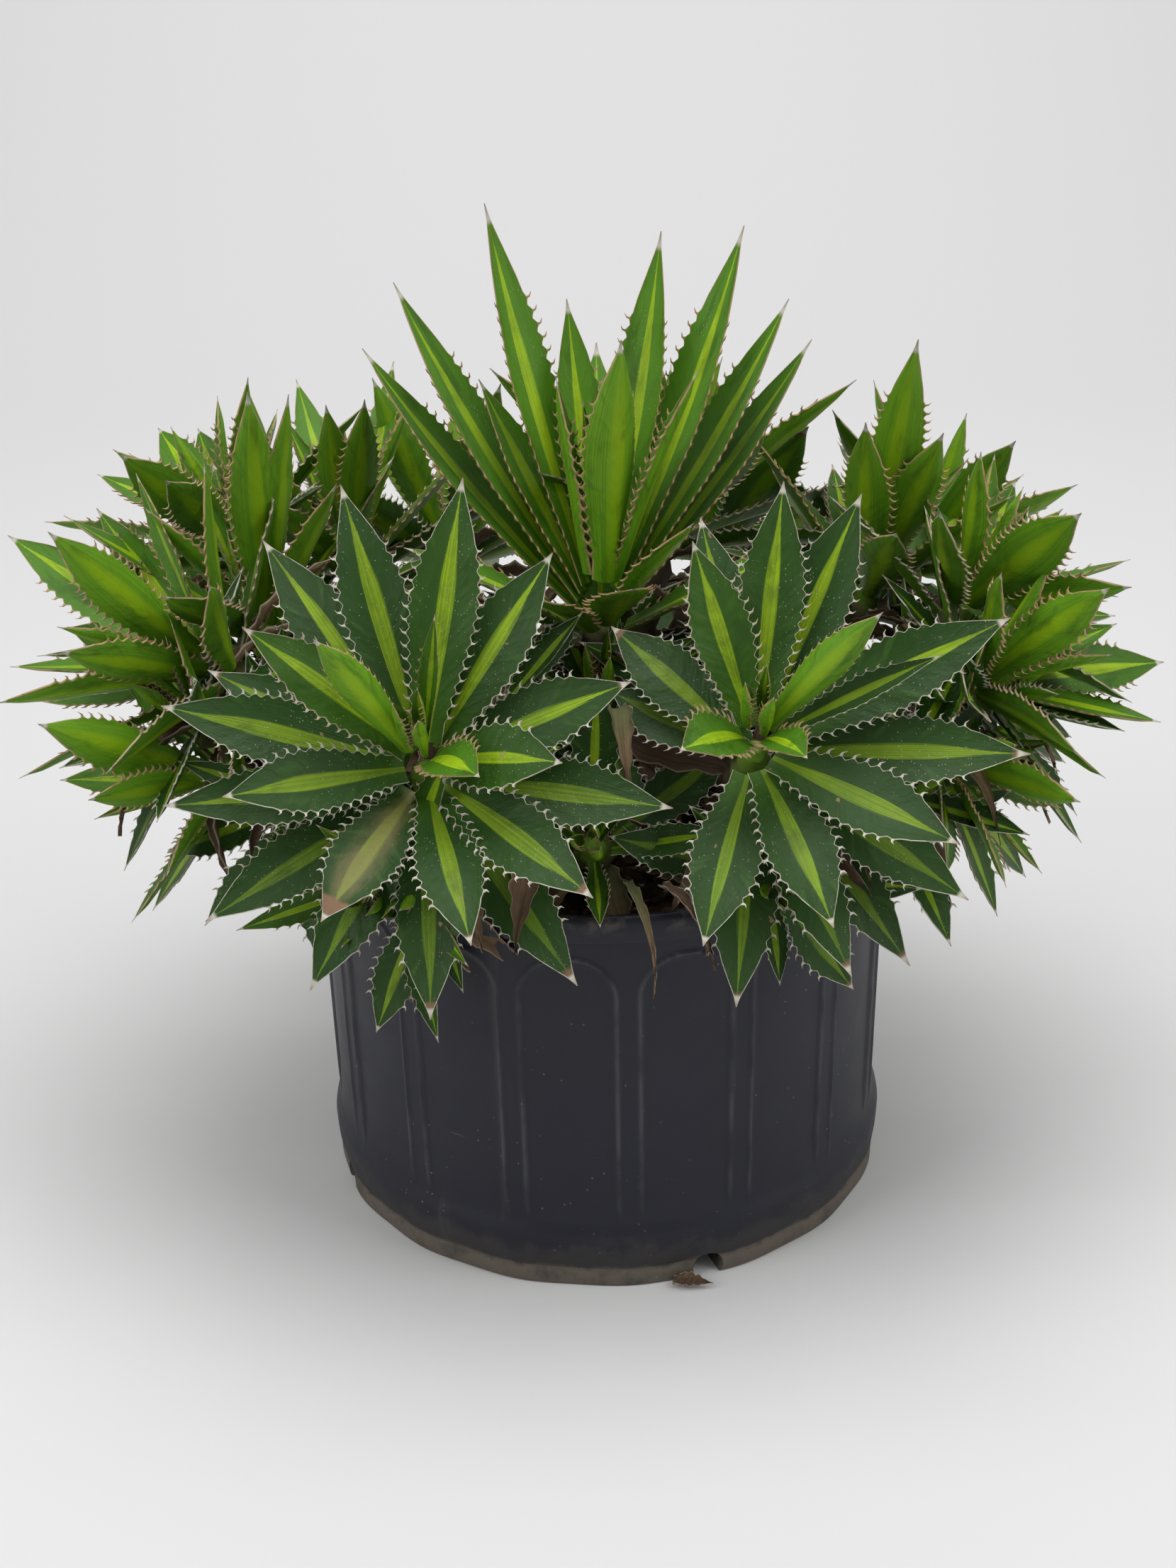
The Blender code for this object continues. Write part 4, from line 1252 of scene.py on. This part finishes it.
# the crowded undergrowth between the rosettes: short side shoots, told like the rosettes above
undergrowth = {
    "shoot_" + name: dict(at=at, lean=lean, toward=toward, root=root, crown=crown, grown=grown)
    for name, at, lean, toward, root, crown, grown in (
        ("middle", (-0.006, -0.132, 0.268), 58, -92, (-0.004, -0.080), 16, (11, 35, 34, 98, 88, 33)),
        ("left", (-0.168, -0.092, 0.282), 56, -128, (-0.110, -0.060), 16, (11, 10, 34, 98, 86, 31)),
        ("right", (0.160, -0.098, 0.284), 54, -52, (0.110, -0.062), 16, (11, 70, 34, 98, 86, 31)),
        ("left_low", (-0.096, -0.158, 0.262), 82, -104, (-0.060, -0.100), 12, (8, 15, 50, 96, 78, 30)),
        ("right_low", (0.090, -0.158, 0.266), 80, -84, (0.060, -0.100), 12, (8, 40, 50, 96, 76, 30)),
        ("heart_left", (-0.062, -0.058, 0.316), 28, -112, (-0.045, -0.035), 18, (10, 5, 28, 92, 82, 28)),
        ("heart_right", (0.070, -0.054, 0.316), 28, -66, (0.045, -0.035), 18, (10, 60, 28, 92, 80, 28)),
        ("far_left", (-0.196, 0.010, 0.306), 44, -165, (-0.120, 0.010), 16, (10, 25, 30, 94, 84, 27)),
        ("far_right", (0.186, 0.004, 0.306), 44, -14, (0.120, 0.004), 16, (10, 50, 30, 94, 84, 27)),
        ("edge_left", (-0.232, -0.052, 0.316), 46, -160, (-0.120, -0.030), 16, (11, 40, 34, 100, 84, 27)),
        ("edge_right", (0.224, -0.048, 0.320), 46, -20, (0.120, -0.030), 16, (11, 85, 34, 100, 84, 27)),
        ("heart", (0.002, -0.036, 0.300), 14, -90, (0.004, -0.020), 20, (14, 15, 48, 104, 92, 32)),
        ("side_left", (-0.122, 0.000, 0.296), 16, -170, (-0.080, 0.000), 18, (12, 70, 44, 100, 90, 30)),
        ("side_right", (0.120, -0.004, 0.296), 16, -10, (0.080, 0.000), 18, (12, 110, 44, 100, 90, 30)),
        ("rear", (0.000, 0.094, 0.296), 20, 90, (0.000, 0.060), 18, (12, 200, 44, 100, 90, 30)),
    )
}


def clearsPot(rosette, leaf):
    points = ribOf(rosette, leaf, 0.5)[1][4:]
    inRim = np.hypot(points[:, 0], points[:, 1]) < pot["rimRadius"] + 0.006
    return not (inRim & (points[:, 2] < pot["height"] + 0.004)).any()


# the furled young leaves in a heart, told like the others
furled = ((20, 3, -2, 52, 12), (150, 5, 0, 40, 13), (275, 8, 3, 46, 14))
sideLeafWidth = 0.86  # of the width told, so that the teeth stay in it

for name, rosette in {**rosettes, **undergrowth}.items():
    leaves = leavesOf(rosette)
    if name in undergrowth:
        leaves = [leaf for leaf in leaves if clearsPot(rosette, leaf)]
    handSet = name.startswith("front_")
    if not handSet and name != "rosette_centre":
        leaves = [(*leaf[:4], leaf[4] * sideLeafWidth, *leaf[5:]) for leaf in leaves]
    blades = []
    for i, leaf in enumerate(leaves):
        level = 1 - i / max(1, len(leaves) - 1)
        worn = wornLeaves.get((name, i + 1), dice.choice((0.0, 0.0, 0.0, 0.3, 0.5)) if leaf[1] > 60 else 0.0)
        thing = layLeaf(f"{name}_blade_{i + 1:02d}", masters, rosette, leaf, level, worn)
        smoothFaces(thing, 50)
        if handSet:
            finishPiece(thing, leafMaterial, (f"leaf_{name}_{i + 1:02d}",))
        else:
            blades.append(thing)
    heart = [
        layLeaf(f"{name}_furled_{k}", masters, rosette, leaf, 1.02) for k, leaf in enumerate(furled)
    ]
    for thing in heart:
        smoothFaces(thing, 50)
    if handSet:
        finishPiece(joinPieces(name + "_heart", heart), leafMaterial)
        stem = makeStem(f"{name}_stem", rosette)
        finishPiece(stem, stemMaterial, (f"stem_{name}",))
    else:
        blades += heart
        whole = joinPieces(name + "_blades", blades)
        finishPiece(whole, leafMaterial, () if name in undergrowth else (name,))
        stem = makeStem(name + "_stem", rosette)
        finishPiece(stem, stemMaterial)
    husks = husksOf(name, rosette, huskMaster, 5 if name == "pup_front" else 9)
    if husks:
        dry = joinPieces(name + "_husks", husks)
        smoothFaces(dry, 50)
        finishPiece(dry, huskMaterial)
    print(name, len(leaves), "leaves")

# dry leaves that hang over the rim and in the gaps: foot, way out, length, width (mm), curl, droop
hanging = (
    ((0.008, -0.128, 0.352), (0.2, -1, 0), 0.072, 17, 2.4, 172),
    ((0.012, -0.178, 0.270), (0.1, -1, 0), 0.082, 8, 2.6, 176),
    ((0.030, -0.176, 0.268), (0.8, -1, 0), 0.062, 9, 2.4, 165),
    ((0.046, -0.176, 0.268), (0.3, -1, 0), 0.046, 15, 2.0, 170),
    ((-0.152, -0.132, 0.292), (-0.5, -1, 0), 0.055, 26, 2.2, 160),
    ((-0.166, -0.120, 0.300), (-0.8, -0.8, 0), 0.060, 22, 2.6, 168),
    ((-0.214, -0.060, 0.322), (-1, -0.5, 0), 0.105, 14, 2.4, 172),
    ((-0.040, -0.182, 0.282), (-0.2, -1, 0), 0.060, 20, 2.0, 168),
    ((0.176, -0.088, 0.312), (0.8, -0.6, 0), 0.085, 14, 2.2, 165),
    ((0.206, -0.048, 0.330), (1, -0.3, 0), 0.090, 12, 2.4, 168),
    ((0.128, -0.160, 0.296), (0.5, -1, 0), 0.050, 16, 2.2, 166),
    ((0.036, -0.173, 0.003), (1, -0.24, 0), 0.024, 11, 1.2, 92),
    ((0.100, 0.176, 0.300), (0.4, 1, 0), 0.085, 18, 2.4, 168),
    ((-0.080, 0.176, 0.300), (-0.4, 1, 0), 0.078, 20, 2.2, 165),
)
upright = np.array((0.0, 0.0, 1.0))
dryLeaves = [
    layHusk(f"hanging_{k}", huskMaster, foot, unit(np.array(way)), upright, length, width, curl, droop)
    for k, (foot, way, length, width, curl, droop) in enumerate(hanging)
]
dryPiece = joinPieces("hanging_dry_leaves", dryLeaves)
smoothFaces(dryPiece, 50)
finishPiece(dryPiece, huskMaterial)

for master in [*masters.values(), huskMaster]:
    bpy.data.objects.remove(master)

shell = makePot()
finishPiece(shell, potMaterial, ("pot",))
bed, litter = makeSoil()
finishPiece(bed, soilMaterial, ("soil",))
finishPiece(litter, soilMaterial)


# Stage, light and camera

studio = dict(
    floor=(0.68, 0.68, 0.68),
    camera=(-0.008, -1.33, 0.848),
    pitch=24.2,
    roll=1.2,
    lens=54.07,
    sky=0.43,
)


def makeStage():
    floor = added("floor", bpy.ops.mesh.primitive_plane_add, size=8)
    # the back edge is drawn up into a wall with a round foot
    selectEdges(floor.data, lambda a, b: a[1] > 3.9 and b[1] > 3.9)
    editMode()
    draw(z=5)
    objectMode()
    selectEdges(floor.data, lambda a, b: a[1] > 3.9 and b[1] > 3.9 and abs(a[2]) + abs(b[2]) < 0.01)
    editMode()
    bpy.ops.mesh.bevel(offset=2.2, segments=24)
    objectMode()
    smoothFaces(floor)
    material, shader = newMaterial("studioPaper", 0.9, 0.1)
    feed(shader["Base Color"], studio["floor"])
    floor.data.materials.append(material)


def addLamp(name, location, aim, power, size):
    lamp = added(name, bpy.ops.object.light_add, type="AREA", location=location)
    lamp.data.energy = power
    lamp.data.shape = "RECTANGLE"
    lamp.data.size, lamp.data.size_y = size
    way = np.array(aim) - np.array(location)
    flat = math.hypot(way[0], way[1])
    lamp.rotation_euler = (math.pi / 2 - math.atan2(-way[2], flat), 0, math.atan2(-way[0], way[1]))


def makeLights():
    addLamp("overhead", (0.0, -0.1, 2.6), (0.0, 0.05, 0.2), 40, (2.0, 1.6))
    addLamp("left_bank", (-2.2, -1.3, 1.8), (0.0, 0.0, 0.3), 28, (1.4, 1.8))
    addLamp("right_bank", (2.3, -1.0, 1.7), (0.0, 0.0, 0.3), 25, (1.4, 1.8))
    addLamp("backdrop", (0.0, 2.0, 2.6), (0.0, 3.9, 0.3), 30, (3.4, 1.0))
    world = bpy.data.worlds.new("studio")
    world.use_nodes = True
    sky = world.node_tree.nodes["Background"].inputs
    sky["Color"].default_value = (1.0, 1.0, 1.0, 1)
    sky["Strength"].default_value = studio["sky"]
    bpy.context.scene.world = world


def makeCamera():
    camera = added("view", bpy.ops.object.camera_add)
    camera.data.lens = studio["lens"]
    camera.data.clip_start = 0.02
    camera.matrix_world = (
        Matrix.Translation(studio["camera"])
        @ Matrix.Rotation(math.radians(90 - studio["pitch"]), 4, "X")
        @ Matrix.Rotation(math.radians(-studio["roll"]), 4, "Z")
    )
    bpy.context.scene.camera = camera


makeStage()
makeLights()
makeCamera()
bpy.context.scene.view_settings.view_transform = "Standard"
